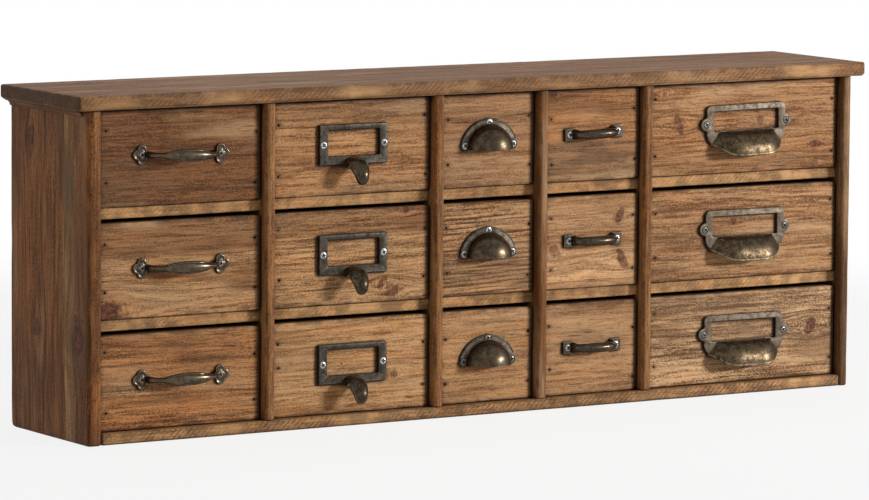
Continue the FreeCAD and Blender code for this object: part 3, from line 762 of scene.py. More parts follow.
BOARDS = {
    "top_board": Plank(3.1, (0.335, 0.160, 0.068), (0.13, 0.056, 0.023), grey=(0.24, 0.13, 0.063), depth=0.9,
                       greying=0.55, wear=0.7),
    "left_side": Plank(5.3, (0.385, 0.155, 0.047), (0.070, 0.023, 0.006), grey=(0.12, 0.046, 0.013),
                       greying=0.7, seams=(-32,), band=(-43, 12, 1.0), band_colour=(0.40, 0.225, 0.095),
                       knots=((-64, -61, 10.0, 1.1, 0, 1.0), (-62, 28, 6.5, 1.1, 0, 0.95),
                              (136, 40, 6.5, 1.15, 0, 0.95), (-42, -57, 1.6, 1.0, 0, 1.0),
                              (-44, -71, 1.6, 1.0, 0, 1.0))),
    "right_side": Plank(6.8, (0.190, 0.090, 0.034), (0.075, 0.032, 0.012), depth=0.95, rings=0.7,
                        seams=(12,), knots=((60, -30, 6.0, 1.3, 10, 0.9), (-95, 40, 4.0, 1.2, 0, 0.8))),
    "bottom_board": Plank(2.2, (0.580, 0.310, 0.135), (0.16, 0.068, 0.026), greying=0.25, mottle=0.3),
    "divider_1": Plank(7.7, (0.380, 0.182, 0.066), UMBER, rings=0.8),
    "divider_2": Plank(8.9, (0.365, 0.170, 0.058), UMBER, greying=0.15, rings=0.8,
                       knots=((-45, -79, 2.2, 1.4, 0, 0.9),)),
    "divider_3": Plank(9.4, (0.215, 0.075, 0.015), UMBER, greying=0.12, rings=0.8, wear=0.3,
                       knots=((50, -80, 2.0, 1.6, 0, 0.7),)),
    "divider_4": Plank(1.6, (0.365, 0.170, 0.058), UMBER, greying=0.2, rings=0.8),
    "upper_shelves": Plank(4.4, (0.660, 0.345, 0.135), (0.20, 0.082, 0.030), greying=0.2, rings=0.6, mottle=0.25),
    "lower_shelves": Plank(5.9, (0.660, 0.345, 0.135), (0.20, 0.082, 0.030), greying=0.2, rings=0.6, mottle=0.25),
    "back_panel": Plank(2.9, (0.47, 0.258, 0.12), (0.25, 0.122, 0.051), greying=0.2, depth=0.6, rings=0.9),
    "left_cove": Plank(1.2, (0.24, 0.102, 0.039), (0.07, 0.026, 0.01)),
    "right_cove": Plank(1.9, (0.3, 0.133, 0.051), (0.09, 0.035, 0.013)),
}

# The fronts' looks, and their nails' heights above the middle: two at the left end, two at the right, in mm.
FRONTS = {
    "a1": (Plank(11.0, (0.275, 0.114, 0.041), (0.085, 0.036, 0.015), grey=(0.17, 0.092, 0.045), greying=0.55,
                 depth=1.0, speckle=0.9), (29, -24, 21, -31)),
    "a2": (Plank(12.3, (0.60, 0.335, 0.152), UMBER, greying=0.25, depth=0.8, rings=0.7,
                 knots=((-84, -42, 9.5, 1.2, 20, 1.0),),
                 band=(34, 22, 0.75), band_colour=(0.20, 0.088, 0.034)), (28, -21, 26, -25)),
    "a3": (Plank(13.7, (0.545, 0.250, 0.092), UMBER, rings=0.7,
                 band=(-6, 8, 0.5), band_colour=(0.48, 0.282, 0.144)), (32, -30, 20, -27)),
    "b1": (Plank(14.1, (0.590, 0.302, 0.126), UMBER, greying=0.4, depth=0.75, speckle=0.9,
                 band=(38, 9, 0.5), band_colour=(0.18, 0.09, 0.039)), (26, -27, 30, -32)),
    "b2": (Plank(15.8, (0.675, 0.385, 0.174), UMBER, depth=0.78, rings=0.8,
                 knots=((65, 45, 2.2, 1.2, 0, 0.9), (48, -38, 5.5, 1.3, 30, 0.6), (37, -29, 3.0, 2.2, 60, 0.5)),
                 band=(36, 14, 0.6), band_colour=(0.19, 0.082, 0.030)), (32, -20, 25, -25)),
    "b3": (Plank(16.2, (0.635, 0.365, 0.168), (0.2, 0.085, 0.03), greying=0.15, depth=0.65, rings=0.8, speckle=0.3,
                 knots=((52, -11, 3.4, 1.1, 0, 0.55), (-12, 3, 0.8, 1.3, 0, 1.0), (38, 32, 1.2, 9.0, 0, 0.5))),
           (28, 3, 20, -25)),
    "c1": (Plank(17.5, (0.470, 0.258, 0.123), UMBER, depth=0.65,
                 knots=((-20, 19, 0.55, 46.0, -2, 0.8), (37, 25, 0.5, 34.0, 4, 0.7))), (23, -24, 24, -28)),
    "c2": (Plank(18.9, (0.600, 0.330, 0.150), (0.105, 0.045, 0.018), greying=0.35, depth=0.9, rings=1.7, speckle=0.8,
                 knots=((-8, -13, 0.6, 34.0, 1, 0.75), (12, -19, 0.75, 26.0, 0, 0.85),
                        (-14, -26, 0.6, 28.0, -1, 0.7), (16, -31, 0.5, 22.0, 1, 0.7)),
                 band=(-25, 14, 0.9), band_colour=(0.30, 0.165, 0.078)), (24, -24, 23, -31)),
    "c3": (Plank(19.4, (0.560, 0.308, 0.136), UMBER, depth=0.62,
                 band=(42, 7, 0.5), band_colour=(0.52, 0.313, 0.162)), (20, -27, 23, -30)),
    "d1": (Plank(20.6, (0.495, 0.235, 0.088), UMBER, greying=0.25, depth=0.8, knots=((-50, 44, 3.2, 1.3, 20, 0.9),),
                 band=(-28, 22, 0.8), band_colour=(0.215, 0.118, 0.057)), (18, -30, 26, -28)),
    "d2": (Plank(21.3, (0.575, 0.325, 0.155), (0.17, 0.07, 0.025), greying=0.25, depth=0.65, speckle=0.4,
                 band=(-25, 16, 0.6), band_colour=(0.72, 0.42, 0.21),
                 knots=((35, 26, 3.6, 2.3, 62, 0.8), (39, -21, 4.4, 2.2, -58, 0.85), (-47, -8, 4.6, 1.3, -40, 0.6))),
           (27, -28, 26, -31)),
    "d3": (Plank(22.8, (0.515, 0.290, 0.136), (0.16, 0.069, 0.026), depth=0.7,
                 band=(42, 8, 0.5), band_colour=(0.2, 0.105, 0.051)), (26, -20, 19, -34)),
    "e1": (Plank(23.1, (0.510, 0.260, 0.108), (0.15, 0.058, 0.020), depth=0.95, rings=0.7,
                 knots=((-86, 6, 3.6, 3.0, 108, 0.75), (20, 6, 3.4, 1.2, 120, 0.75), (14, 17, 1.8, 2.2, 160, 0.6),
                        (94, -22, 3.2, 2.0, 8, 0.8), (93, -42, 2.2, 2.2, 60, 0.5), (-105, 40, 2.2, 1.3, 0, 0.4)),
                 band=(-38, 9, 0.55), band_colour=(0.21, 0.096, 0.038)), (34, -27, 26, -31)),
    "e2": (Plank(24.7, (0.515, 0.279, 0.126), (0.14, 0.058, 0.021), greying=0.35, depth=0.95, rings=0.8,
                 knots=((-13, 13, 2.8, 1.1, 0, 0.85), (81, 10, 0.9, 9.0, 0, 1.0), (-60, 38, 1.2, 6.0, 0, 0.5))),
           (25, -22, 30, -30)),
    "e3": (Plank(25.9, (0.690, 0.430, 0.225), (0.12, 0.054, 0.022), greying=0.6, depth=0.95, rings=0.6,
                 speckle=0.9, knots=((90, 6, 5.2, 1.7, 70, 0.95),)), (31, -26, 24, -30)),
}


def show_piece(name, mesh, body, *nodes, slot=None):
    """Hangs a finished mesh on its body in place of the nodes it stands for."""
    obj = link_object(name, mesh)
    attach(obj, body)
    if nodes:
        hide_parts(*nodes)
    return obj


def put_board(node, mesh, name, grain, slot, saw_marks=0.0, end_grain=False):
    """Gives a board's mesh its wood and hangs it on the carcass; the marks of the saw go on its front edge."""
    lo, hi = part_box(node)
    middle = board_middle(node)
    sawn = (lo.y - middle.y, saw_marks) if saw_marks else None
    end = hi.x - middle.x if end_grain else None
    mesh.materials.append(pine_material(name, BOARDS[node], grain, middle, sawn, end_grain=end))
    show_piece(node + "_wood", mesh, "carcass", node, slot=slot)


def paint_node(node, name, plank, grain):
    """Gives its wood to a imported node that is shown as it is."""
    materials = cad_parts[node].data.materials
    materials.clear()
    materials.append(pine_material(name, plank, grain, board_middle(node)))


def spoken(node):
    """A node's name as words."""
    return node.replace("_", " ").capitalize()


def shelf_meshes(node, arris, amount):
    """One eased board for each column, at the places of the node's solids."""
    lo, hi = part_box(node)
    divider_lo, divider_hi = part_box("divider_1")
    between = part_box("drawer_b1_front")[0].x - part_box("drawer_a1_front")[1].x
    gap = (between - (divider_hi.x - divider_lo.x)) / 2
    meshes = []
    for letter in COLUMNS:
        front_lo, front_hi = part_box("drawer_%s1_front" % letter)
        left = Vector((front_lo.x - gap, lo.y, lo.z))
        right = Vector((front_hi.x + gap, hi.y, hi.z))
        size = right - left
        section = corner_profile(size.y, size.z, (arris, 0.0005, 0.0005, arris))
        rings = [[Vector((left.x + s, left.y + a, left.z + b)) for a, b in section]
                 for s in side_stations(size.x, False)]
        mesh = swept(node + letter, rings, BOARD_SHARP)
        soften(mesh, left, right, amount, ord(letter) * 0.37)
        meshes.append(mesh)
    return meshes


class CABINET_OT_carcass(bpy.types.Operator):
    """Makes the boards of the carcass: top, sides, dividers, shelves, bottom, back and coves"""
    bl_idname = "cabinet.carcass"
    bl_label = "Carcass boards"

    def execute(self, context):
        wood = context.scene.cabinet_wood
        amount = wood.edge_wear
        mesh = slab("top", *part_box("top_board"), 2, wood.top_ease, wood.top_ease, amount, 3.0, wood.top_ease)
        put_board("top_board", mesh, "Top board", "TOP", "weathered_top", 0.85, end_grain=True)
        ease = wood.arris * 1.6
        mesh = sweep_board("bottom", "bottom_board", "X", (ease, 0.0006, 0.0006, ease), amount, 2.0)
        put_board("bottom_board", mesh, "Bottom board", "TOP", "frame_wood", 0.8)
        radii = (wood.nose, wood.nose, 0.0008, 0.0008)
        for node in ("left_side", "right_side"):
            mesh = sweep_board(node + "_shape", node, "Z", radii, amount, BOARDS[node].seed, wood.heel)
            put_board(node, mesh, spoken(node), "EDGE", "side_boards")
        for node in ("divider_1", "divider_2", "divider_3", "divider_4"):
            mesh = sweep_board(node + "_shape", node, "Z", radii, amount, BOARDS[node].seed)
            put_board(node, mesh, spoken(node), "Z", "frame_wood")
        for node, grain in (("back_panel", "X"), ("left_cove", "Y"), ("right_cove", "Y")):
            paint_node(node, spoken(node), BOARDS[node], grain)
        for node in ("upper_shelves", "lower_shelves"):
            mesh = joined(node + "_shape", shelf_meshes(node, wood.arris, amount))
            put_board(node, mesh, node + " wood", "TOP", "frame_wood", 0.4)
        return {"FINISHED"}


def nail_places(drawer, heights):
    """Where the four nails of a front are driven: two near each end."""
    lo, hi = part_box(drawer + "_front")
    middle = front_middle(drawer)
    inset = bpy.context.scene.cabinet_wood.nail_inset
    places = []
    for k, height in enumerate(heights):
        end = lo.x + inset if k < 2 else hi.x - inset
        scatter = 0.0008 * math.sin(height * 3.1)
        places.append(Vector((end + scatter, lo.y, middle.z + height * MM)))
    return places


class CABINET_OT_fronts(bpy.types.Operator):
    """Makes the fifteen drawer fronts with the stains round their nails"""
    bl_idname = "cabinet.fronts"
    bl_label = "Drawer fronts"

    def execute(self, context):
        wood = context.scene.cabinet_wood
        for drawer, letter, row in drawers():
            plank, heights = FRONTS["%s%d" % (letter, row)]
            lo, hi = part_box(drawer + "_front")
            corner = wood.front_corner * (1.0 + 0.5 * math.sin(plank.seed * 2.3))
            mesh = slab(drawer + "_shape", lo, hi, 1, corner, wood.arris, wood.edge_wear, plank.seed)
            middle = front_middle(drawer)
            nails = [(p - middle) / MM for p in nail_places(drawer, heights)]
            mesh.materials.append(pine_material("Front %s%d" % (letter, row), plank, "X", middle,
                                                nails=[(nail.x, nail.z) for nail in nails]))
            show_piece(drawer + "_front_wood", mesh, drawer, drawer + "_front", slot="drawer_pine")
        return {"FINISHED"}


class CABINET_OT_boxes(bpy.types.Operator):
    """Gives the drawers' sides, backs and bottoms their raw wood"""
    bl_idname = "cabinet.boxes"
    bl_label = "Drawer boxes"

    def execute(self, context):
        for drawer, letter, row in drawers():
            seed = 30.0 + ord(letter) * 1.7 + row * 2.9
            plank = Plank(seed, (0.50, 0.35, 0.20), (0.24, 0.14, 0.07), greying=0.2, depth=0.6, rings=0.7, wear=0.2)
            paint_node(drawer + "_box", "Box %s%d" % (letter, row), plank, "Y")
        return {"FINISHED"}


# ---- pulls: drawn in millimetres, right along +X, up along +Y, outwards from the drawer along +Z ----------
BOW_STATIONS, CROWN_STEPS, BACK_STEPS = 110, 36, 8


def bow_points(half, foot_z, height):
    """Stations along a bow and the outward normal at each."""
    path = []
    for i in range(BOW_STATIONS + 1):
        t = math.pi * i / BOW_STATIONS
        c, s = math.cos(t), math.sin(t)
        x = half * math.copysign(abs(c) ** 0.8, c)
        path.append(Vector((x, 0, foot_z + (height - foot_z) * max(s, 0.0) ** 0.8)))
    frames = []
    for i, p in enumerate(path):
        along = (path[min(i + 1, BOW_STATIONS)] - path[max(i - 1, 0)]).normalized()
        frames.append((p, Vector((along.z, 0, -along.x))))
    return frames


def bow_mesh(name, half, height, widths, thicknesses, body, blunt, bead):
    """Bowed grip: a body of the given half length swells from two necks and carries a bead along each edge."""
    rings = []
    for p, out in bow_points(half, 0.4, height):
        grown = (1 - min(1.0, abs(p.x) / body) ** 2) ** blunt
        flare = max(0.0, abs(p.x) / half - 0.88) / 0.12
        width = max(lerp(*widths, grown), lerp(widths[0], widths[0] * 1.5, flare))
        thick = lerp(*thicknesses, grown)
        ring = []
        for k in range(CROWN_STEPS + 1):
            u = math.sin(math.pi / 2 * (-1 + 2 * k / CROWN_STEPS))
            crown = (1 - abs(u) ** 2.2) ** 0.75
            crown -= bead * grown * math.exp(-((abs(u) - 0.72) / 0.07) ** 2) * 0.16
            crown += bead * grown * math.exp(-((abs(u) - 0.90) / 0.07) ** 2) * 0.10
            ring.append(p + Vector((0, 1, 0)) * (width / 2 * u) + out * (thick * crown))
        for k in range(1, BACK_STEPS):
            u = 1 - 2 * k / BACK_STEPS
            ring.append(p + Vector((0, 1, 0)) * (width / 2 * u) - out * (0.3 * (1 - u * u)))
        rings.append(ring)
    return swept(name, rings)


def soft_max(a, b, blend):
    """Larger of two numbers, rounded where they are nearly the same."""
    h = max(blend - abs(a - b), 0.0) / blend
    return max(a, b) + h * h * blend / 4


def circle_reach(angle, cx, cy, radius):
    """How far out a ray from the origin stays within a circle."""
    along = cx * math.cos(angle) + cy * math.sin(angle)
    inside = radius ** 2 - (cx * cx + cy * cy - along * along)
    return along + math.sqrt(inside) if inside > 0 else 0.0


def rosette_mesh(name, x, outward):
    """Trefoil plate with a raised rim, a sunk field and a boss round its screw; one lobe points outwards."""
    lobes = ((outward * 5.3, 0.0), (0.0, 5.3), (0.0, -5.3))
    profile = ((1.0, 0.0), (1.0, 1.1), (0.975, 1.65), (0.92, 2.0), (0.86, 2.05), (0.80, 1.85), (0.74, 1.5),
               (0.66, 1.35), (0.56, 1.45), (0.47, 1.75), (0.40, 1.95), (0.30, 1.9), (0.15, 1.6), (0.02, 1.5))
    count = 96
    reaches = []
    for i in range(count):
        a = math.tau * i / count
        reach = 6.6
        for cx, cy in lobes:
            reach = soft_max(reach, circle_reach(a, cx, cy, 5.2), 0.9)
        reaches.append((a, reach))
    rings = []
    for share, z in profile:
        ring = []
        for a, reach in reaches:
            even = lerp(7.4, reach, min(1.0, share * 1.15)) * share
            ring.append(Vector((x + math.cos(a) * even, math.sin(a) * even, z)))
        rings.append(ring)
    return swept(name, rings)


def shape_of(holder, name):
    """Plain mesh of what an object shows; the object goes."""
    bpy.context.view_layer.update()
    mesh = bpy.data.meshes.new_from_object(holder.evaluated_get(bpy.context.evaluated_depsgraph_get()))
    bpy.data.objects.remove(holder)
    mesh.name = name
    return mesh


def plate_mesh(name, outlines, thickness, ease):
    """Flat casting with round arrises; the first outline is its rim, the others are windows."""
    curve = bpy.data.curves.new(name, "CURVE")
    curve.dimensions = "2D"
    curve.fill_mode = "BOTH"
    curve.bevel_depth = ease
    curve.bevel_resolution = 3
    curve.offset = -ease
    curve.extrude = thickness / 2 - ease
    for outline in outlines:
        spline = curve.splines.new("POLY")
        spline.points.add(len(outline) - 1)
        for point, place in zip(spline.points, outline):
            point.co = (place[0], place[1], 0.0, 1.0)
        spline.use_cyclic_u = True
    mesh = shape_of(link_object(name, curve), name)
    bpy.data.curves.remove(curve)
    mesh.transform(Matrix.Translation((0, 0, thickness / 2)))
    return cleaned(mesh, 32, merge=1e-4)


def box_outline(left, right, low, high, radius):
    """Rectangle outline with round corners between four limits."""
    x, y = (left + right) / 2, (low + high) / 2
    return [(p.x + x, p.y + y) for p in rounded_rectangle((right - left) / 2, (high - low) / 2, radius)]


def tube_mesh(name, path, radius, sides):
    """Round rod along a path of points."""
    rings = []
    for i, p in enumerate(path):
        along = (path[min(i + 1, len(path) - 1)] - path[max(i - 1, 0)]).normalized()
        across = along.cross(Vector((0, 0, 1)))
        across = across.normalized() if across.length > 1e-6 else Vector((1, 0, 0))
        up = across.cross(along)
        turns = [math.tau * k / sides for k in range(sides)]
        rings.append([p + (across * math.cos(a) + up * math.sin(a)) * radius for a in turns])
    return swept(name, rings)


def lobed_pull_mesh():
    """Bow handle between two rosettes."""
    half = 45.6
    grip = bow_mesh("grip", half - 6.4, 18.0, (5.2, 13.6), (3.0, 4.6), 27.0, 0.80, 1.0)
    return joined("lobed pull", [grip, rosette_mesh("r", half, 1), rosette_mesh("l", -half, -1)])


def square_pull_mesh():
    """Small bow handle between two square feet, each with a ring round its screw."""
    half = 30.1
    parts = [bow_mesh("grip", half - 5.1, 15.0, (8.0, 10.6), (3.4, 5.2), 24.0, 0.9, 0.35)]
    for x in (-half, half):
        parts.append(plate_mesh("foot", [box_outline(x - 6.5, x + 6.5, -7.0, 7.0, 1.6)], 2.4, 0.8))
        parts.append(tube_mesh("ring", arc((4.1, 4.1), 0, 360, 40, (x, 0), 2.3), 0.45, 8))
    return joined("square pull", parts)


# The finger from its root to its tip: share of its drop, share of its reach, turn of its crown, width, thickness.
FINGER = ((0.00, 0.00, 0, 27.0, 1.20), (0.05, 0.36, 22, 24.5, 1.12), (0.22, 0.70, 50, 21.5, 1.06),
          (0.48, 0.91, 74, 17.6, 0.98), (0.76, 0.98, 86, 13.6, 0.82), (0.93, 0.985, 92, 9.0, 0.55),
          (1.00, 0.98, 95, 4.0, 0.18))


def finger_station(t):
    """The finger's five values on a smooth curve through its stations."""
    k = min(int(t), len(FINGER) - 2)
    s = t - k
    before, a, b, after = FINGER[max(k - 1, 0)], FINGER[k], FINGER[k + 1], FINGER[min(k + 2, len(FINGER) - 1)]
    return [0.5 * (2 * q + (r - p) * s + (2 * p - 5 * q + 4 * r - w) * s * s + (3 * q - p - 3 * r + w) * s ** 3)
            for p, q, r, w in zip(before, a, b, after)]


def finger_mesh():
    """Drooping finger: a broad root with a raised collar, turning down to a rounded drop."""
    rings = []
    count = 44
    for i in range(count + 1):
        down, out, turn, width, thick = finger_station(i / count * (len(FINGER) - 1))
        angle = math.radians(turn)
        centre = Vector((0, -21.0 - 20.0 * down, 3.2 + 17.0 * out))
        crown = Vector((0, math.cos(angle), math.sin(angle))) * (7.0 * max(thick, 0.1))
        collar = 1 + 0.06 * math.exp(-((i - 9) / 1.3) ** 2)
        ring = []
        for m in range(21):
            u = -1 + 2 * m / 20
            lift = (1 - abs(u) ** 2.2) ** 0.62 * collar
            ring.append(centre + Vector((width / 2 * u * collar, 0, 0)) + crown * lift)
        for m in range(1, 10):
            u = 1 - 2 * m / 10
            ring.append(centre + Vector((width / 2 * u, 0, 0)) - crown * 0.10 * (1 - u * u))
        rings.append(ring)
    return swept("finger", rings, 70)


def label_pull_mesh():
    """Card frame and the finger below it."""
    outline = box_outline(-41.0, 41.0, -21.0, 21.0, 1.6)
    window = box_outline(-31.0, 31.0, -12.0, 15.2, 0.9)
    return joined("label pull", [plate_mesh("label frame", [outline, window], 3.4, 0.8)]), finger_mesh()


def dome_mesh(half_width, height, reach, wall):
    """Half dome with a wall, open below."""
    across, up = 56, 26
    skins = []
    for inset in (0, wall):
        w, h, d = half_width - inset, height - inset, reach - inset
        skins.append([[Vector((p.x * math.cos(out), p.y * math.cos(out), d * math.sin(out)))
                       for p in arc((w, h), 0, 180, across)]
                      for out in (math.pi / 2 * k / up for k in range(up + 1))])
    points, faces, base = two_skins(*skins)
    width = across + 1
    for k in range(up):
        a, b = k * width, (k + 1) * width
        faces.append((a, b, base + b, base + a))
        a, b = a + across, b + across
        faces.append((base + a, base + b, b, a))
    return mesh_from("dome", points, faces, 50)


def cup_pull_mesh():
    """Cup's flange with its edge, and the dome with its bead and its rolled lip."""
    half, height, reach = 27.4, 25.8, 22.5
    ear_x, ear_y, ear = 29.6, 4.0, (5.4, 5.4)
    outline = [p for p in arc((35.0, 31.5), 0, 180, 72) if p.y > ear_y + 1.2]
    outline += arc(ear, 180, 270, 12, (-ear_x, ear_y))
    outline += [(-half + 0.2, 0.2), (half - 0.2, 0.2)]
    outline += arc(ear, 270, 360, 12, (ear_x, ear_y))
    flange = plate_mesh("flange", [outline], 1.8, 0.6)
    edge = tube_mesh("edge", arc((34.0, 30.4), 20, 160, 60, z=1.6), 0.65, 8)
    bead = tube_mesh("bead", arc((half + 0.4, height + 0.4), 0, 180, 60, z=1.9), 0.95, 10)
    lip = [Vector((p.x, 0.75, p.y)) for p in arc((half - 0.9, reach - 0.9), 0, 180, 48)]
    dome = [dome_mesh(half, height, reach, 1.8), bead, tube_mesh("lip", lip, 1.0, 10)]
    return joined("cup plate", [flange, edge]), joined("cup dome", dome)


def scoop_outline():
    """Outline of the eared frame: round upper corners, an ear at each side, sides that sweep in below the ears."""
    half, above, below = 51.5, 20.2, -23.5
    right = [(half - 14.0, below)] + arc((14.0, 14.0), -80, -4, 14, (half - 14.0, below + 14.0))
    right += [(half - 0.1, -8.2)] + arc((6.8, 6.8), -80, 80, 20, (half + 0.5, 0.0))
    right += [(half, 8.2)] + arc((6.0, 6.0), 0, 90, 10, (half - 6.0, above - 6.0))
    return right + [(-p[0], p[1]) for p in reversed(right)]


def scoop_station(place):
    """Share of the scoop's reach and of its lip's drop at a place from the middle (0) to an end (1)."""
    keys = ((0.0, 1.0, 1.0), (0.45, 0.995, 1.0), (0.65, 0.87, 0.86), (0.81, 0.62, 0.42), (0.93, 0.33, 0.12),
            (1.0, 0.08, 0.0))
    for (a, out_a, drop_a), (b, out_b, drop_b) in zip(keys, keys[1:]):
        if place <= b:
            t = (place - a) / (b - a)
            return lerp(out_a, out_b, t), lerp(drop_a, drop_b, t)
    return keys[-1][1:]


def scoop_skins(across, down):
    """Rows of points of the scoop's outer and inner skin, each from its head to its lip."""
    top, lip_ends, lip_middle, reach = -8.4, -21.8, -33.6, 20.9
    places = [math.sin(math.pi / 2 * (-1 + 2 * i / across)) for i in range(across + 1)]
    smooth = [scoop_station(abs(p)) for p in places]
    for _ in range(10):
        inner = [tuple((a[k] + 2 * b[k] + c[k]) / 4 for k in (0, 1))
                 for a, b, c in zip(smooth, smooth[1:], smooth[2:])]
        smooth = [smooth[0]] + inner + [smooth[-1]]
    skins = ([], [])
    for place, (out, drop) in zip(places, smooth):
        lip = lerp(lip_ends, lip_middle, drop)
        for rows, wall in zip(skins, (0.0, 1.7)):
            depth = max(reach * out - wall, 0.2)
            head = top - wall
            row = []
            for k in range(down + 1):
                a = math.pi / 2 * k / down
                y = lip + (head - lip) * math.cos(a)
                splay = lerp(36.0, 46.0, (head - y) / (head - lip)) - wall
                row.append(Vector((place * splay, y, lerp(min(2.6, depth), depth, math.sin(a)))))
            rows.append(row)
    return skins


def scoop_pull_mesh():
    """Eared frame with the weld round its scoop, and the scoop with its rolled lip."""
    window = box_outline(-42.1, 42.1, -8.2, 13.4, 1.0)
    plate = plate_mesh("eared frame", [scoop_outline(), window], 3.0, 0.75)
    across, down = 72, 24
    outer, inner = scoop_skins(across, down)
    points, faces, base = two_skins(outer, inner)
    for i in range(across):
        a = i * (down + 1) + down
        b = a + down + 1
        faces.append((a, b, base + b, base + a))
    scoop = mesh_from("scoop", points, faces, 50)
    lip = [(row[-1] + below[-1]) / 2 for row, below in zip(outer, inner)]
    roll = tube_mesh("scoop lip", lip, 1.0, 10)
    lift = Vector((0, 0, 0.1))
    crease = [row[0] + Vector((0, 0.2, 0.1)) for row in outer[1:-1]]
    seam = [p + lift for p in reversed(outer[0])] + crease + [p + lift for p in outer[-1]]
    return joined("eared plate", [plate, tube_mesh("weld", seam, 0.5, 8)]), joined("scoop", [scoop, roll])


# ---- metals ------------------------------------------------------------------------------------------------
# Main, dark and bright tone, roughness, and how rubbed, how grimy in its hollows and darkened with painted shade
# near other parts, and how speckled the metal is.
METALS = {
    "Antique bronze": ((0.105, 0.078, 0.051), (0.050, 0.037, 0.025), (0.25, 0.21, 0.16), 0.25, 0.25, 0.6, 0.35),
    "Gunmetal": ((0.040, 0.031, 0.023), (0.020, 0.016, 0.012), (0.19, 0.165, 0.135), 0.46, 0.5, 0.6, 0.5),
    "Finger bronze": ((0.058, 0.039, 0.022), (0.022, 0.015, 0.009), (0.34, 0.28, 0.19), 0.24, 0.3, 0.6, 0.35),
    "Cup flange": ((0.046, 0.036, 0.026), (0.021, 0.017, 0.013), (0.26, 0.22, 0.165), 0.42, 0.5, 0.6, 0.35),
    "Dark bronze": ((0.080, 0.057, 0.035), (0.030, 0.021, 0.013), (0.20, 0.15, 0.10), 0.32, 0.12, 0.95, 0.35),
    "Foot bronze": ((0.076, 0.056, 0.036), (0.034, 0.025, 0.017), (0.28, 0.23, 0.17), 0.25, 0.5, 0.6, 0.35),
    "Old pewter": ((0.078, 0.059, 0.041), (0.048, 0.036, 0.025), (0.21, 0.175, 0.135), 0.46, 0.5, 0.6, 0.6),
    "Worn brass": ((0.082, 0.056, 0.031), (0.022, 0.015, 0.008), (0.33, 0.245, 0.14), 0.34, 0.5, 0.6, 0.55),
    "Screw zinc": ((0.34, 0.34, 0.33), (0.15, 0.145, 0.14), (0.66, 0.66, 0.64), 0.34, 0.5, 0.9, 0.35),
    "Screw steel": ((0.10, 0.094, 0.086), (0.045, 0.042, 0.037), (0.34, 0.33, 0.30), 0.34, 0.5, 0.9, 0.35),
    "Nail iron": ((0.012, 0.009, 0.007), (0.006, 0.005, 0.004), (0.03, 0.022, 0.016), 0.8, 0.5, 0.6, 0.35),
}
METAL_GRIME_AND_SHADE = (0.018, 0.014, 0.011)


def metal_material(name):
    """Cast and patinated metal: rubbed bright where it stands proud, dull and dark with patina in its hollows, and
    darkened with painted shade where other parts are near.
    """
    base, dark, bright, rough, rub, grime, speck = METALS[name]
    material = bpy.data.materials.new(name)
    n = blank(material)
    place = n.object_place()
    cloud = n.cloud(place, (170, 170, 170), detail=5.0, roughness=0.66)
    fine = n.cloud(place, (620, 620, 620), detail=4.0, roughness=0.7)
    proud = n.attribute("proud")
    colour = n.mix(n.between(cloud, 0.36, 0.66), dark, base)
    colour = n.mix(n.times(n.between(fine, 0.54, 0.72), speck), colour, bright)
    worn = n.times(n.between(proud, 0.04, 0.30), n.between(cloud, 0.30, 0.58))
    colour = n.mix(n.times(worn, rub), colour, bright)
    # patina in the concave hollows, and painted shade where other surfaces are near
    hollows_and_shade = n.most(n.between(proud, -0.02, -0.22), n.between(n.openness(8, Distance=0.010), 0.80, 0.30))
    colour = n.mix(n.times(hollows_and_shade, grime), colour, METAL_GRIME_AND_SHADE)
    roughness = n.plus(n.between(cloud, 0.30, 0.70, rough + 0.10, rough - 0.06), n.times(hollows_and_shade, 0.25))
    n.principled(colour, roughness, n.line(fine, 0.6, n.times(cloud, 0.6)), 0.18, 0.0003, Metallic=0.92)
    return material


# Pulls that were screwed on a little askew: turn about the pull's middle, in degrees.
ASKEW = {"a1": -1.4, "d1": 1.8, "e1": 0.9}


def hanging(drawer, rise):
    """Stands a shape drawn flat in millimetres on a drawer's face, where its pull hangs."""
    middle = front_middle(drawer) + Vector((0, 0, rise))
    stand = Matrix(((MM, 0, 0, middle.x), (0, 0, -MM, middle.y), (0, MM, 0, middle.z), (0, 0, 0, 1)))
    return stand @ Matrix.Rotation(math.radians(ASKEW.get(drawer[-2:], 0.0)), 4, "Z")


def dressed(mesh, metal):
    """Gives a mesh its one metal and marks its high spots."""
    mesh.materials.clear()
    mesh.materials.append(metal_material(metal))
    for face in mesh.polygons:
        face.material_index = 0
    mark_convexity(mesh)
    return mesh


def put_pulls(column, meshes, rise, slot):
    """Stands one copy of a pull's meshes on each drawer of a column."""
    for drawer, letter, row in drawers(column):
        copies = [mesh.copy() for mesh in meshes]
        for copy in copies:
            copy.transform(hanging(drawer, rise))
        mesh = joined("%s_pull_shape" % drawer, copies)
        show_piece(drawer + "_pull_metal", mesh, drawer, drawer + "_pull", slot=slot)


class CABINET_OT_lobed_pulls(bpy.types.Operator):
    """Makes the bow handles with lobed rosettes of the first column"""
    bl_idname = "cabinet.lobed_pulls"
    bl_label = "Lobed bow pulls"

    def execute(self, context):
        mesh = dressed(lobed_pull_mesh(), "Antique bronze")
        put_pulls("a", [mesh], context.scene.cabinet_pulls.lobed_rise, "antique_bronze")
        return {"FINISHED"}


class CABINET_OT_label_pulls(bpy.types.Operator):
    """Makes the card frames with a drooping finger of the second column"""
    bl_idname = "cabinet.label_pulls"
    bl_label = "Label frame pulls"

    def execute(self, context):
        plate, finger = label_pull_mesh()
        meshes = [dressed(plate, "Gunmetal"), dressed(finger, "Finger bronze")]
        put_pulls("b", meshes, context.scene.cabinet_pulls.label_rise, "gunmetal")
        return {"FINISHED"}


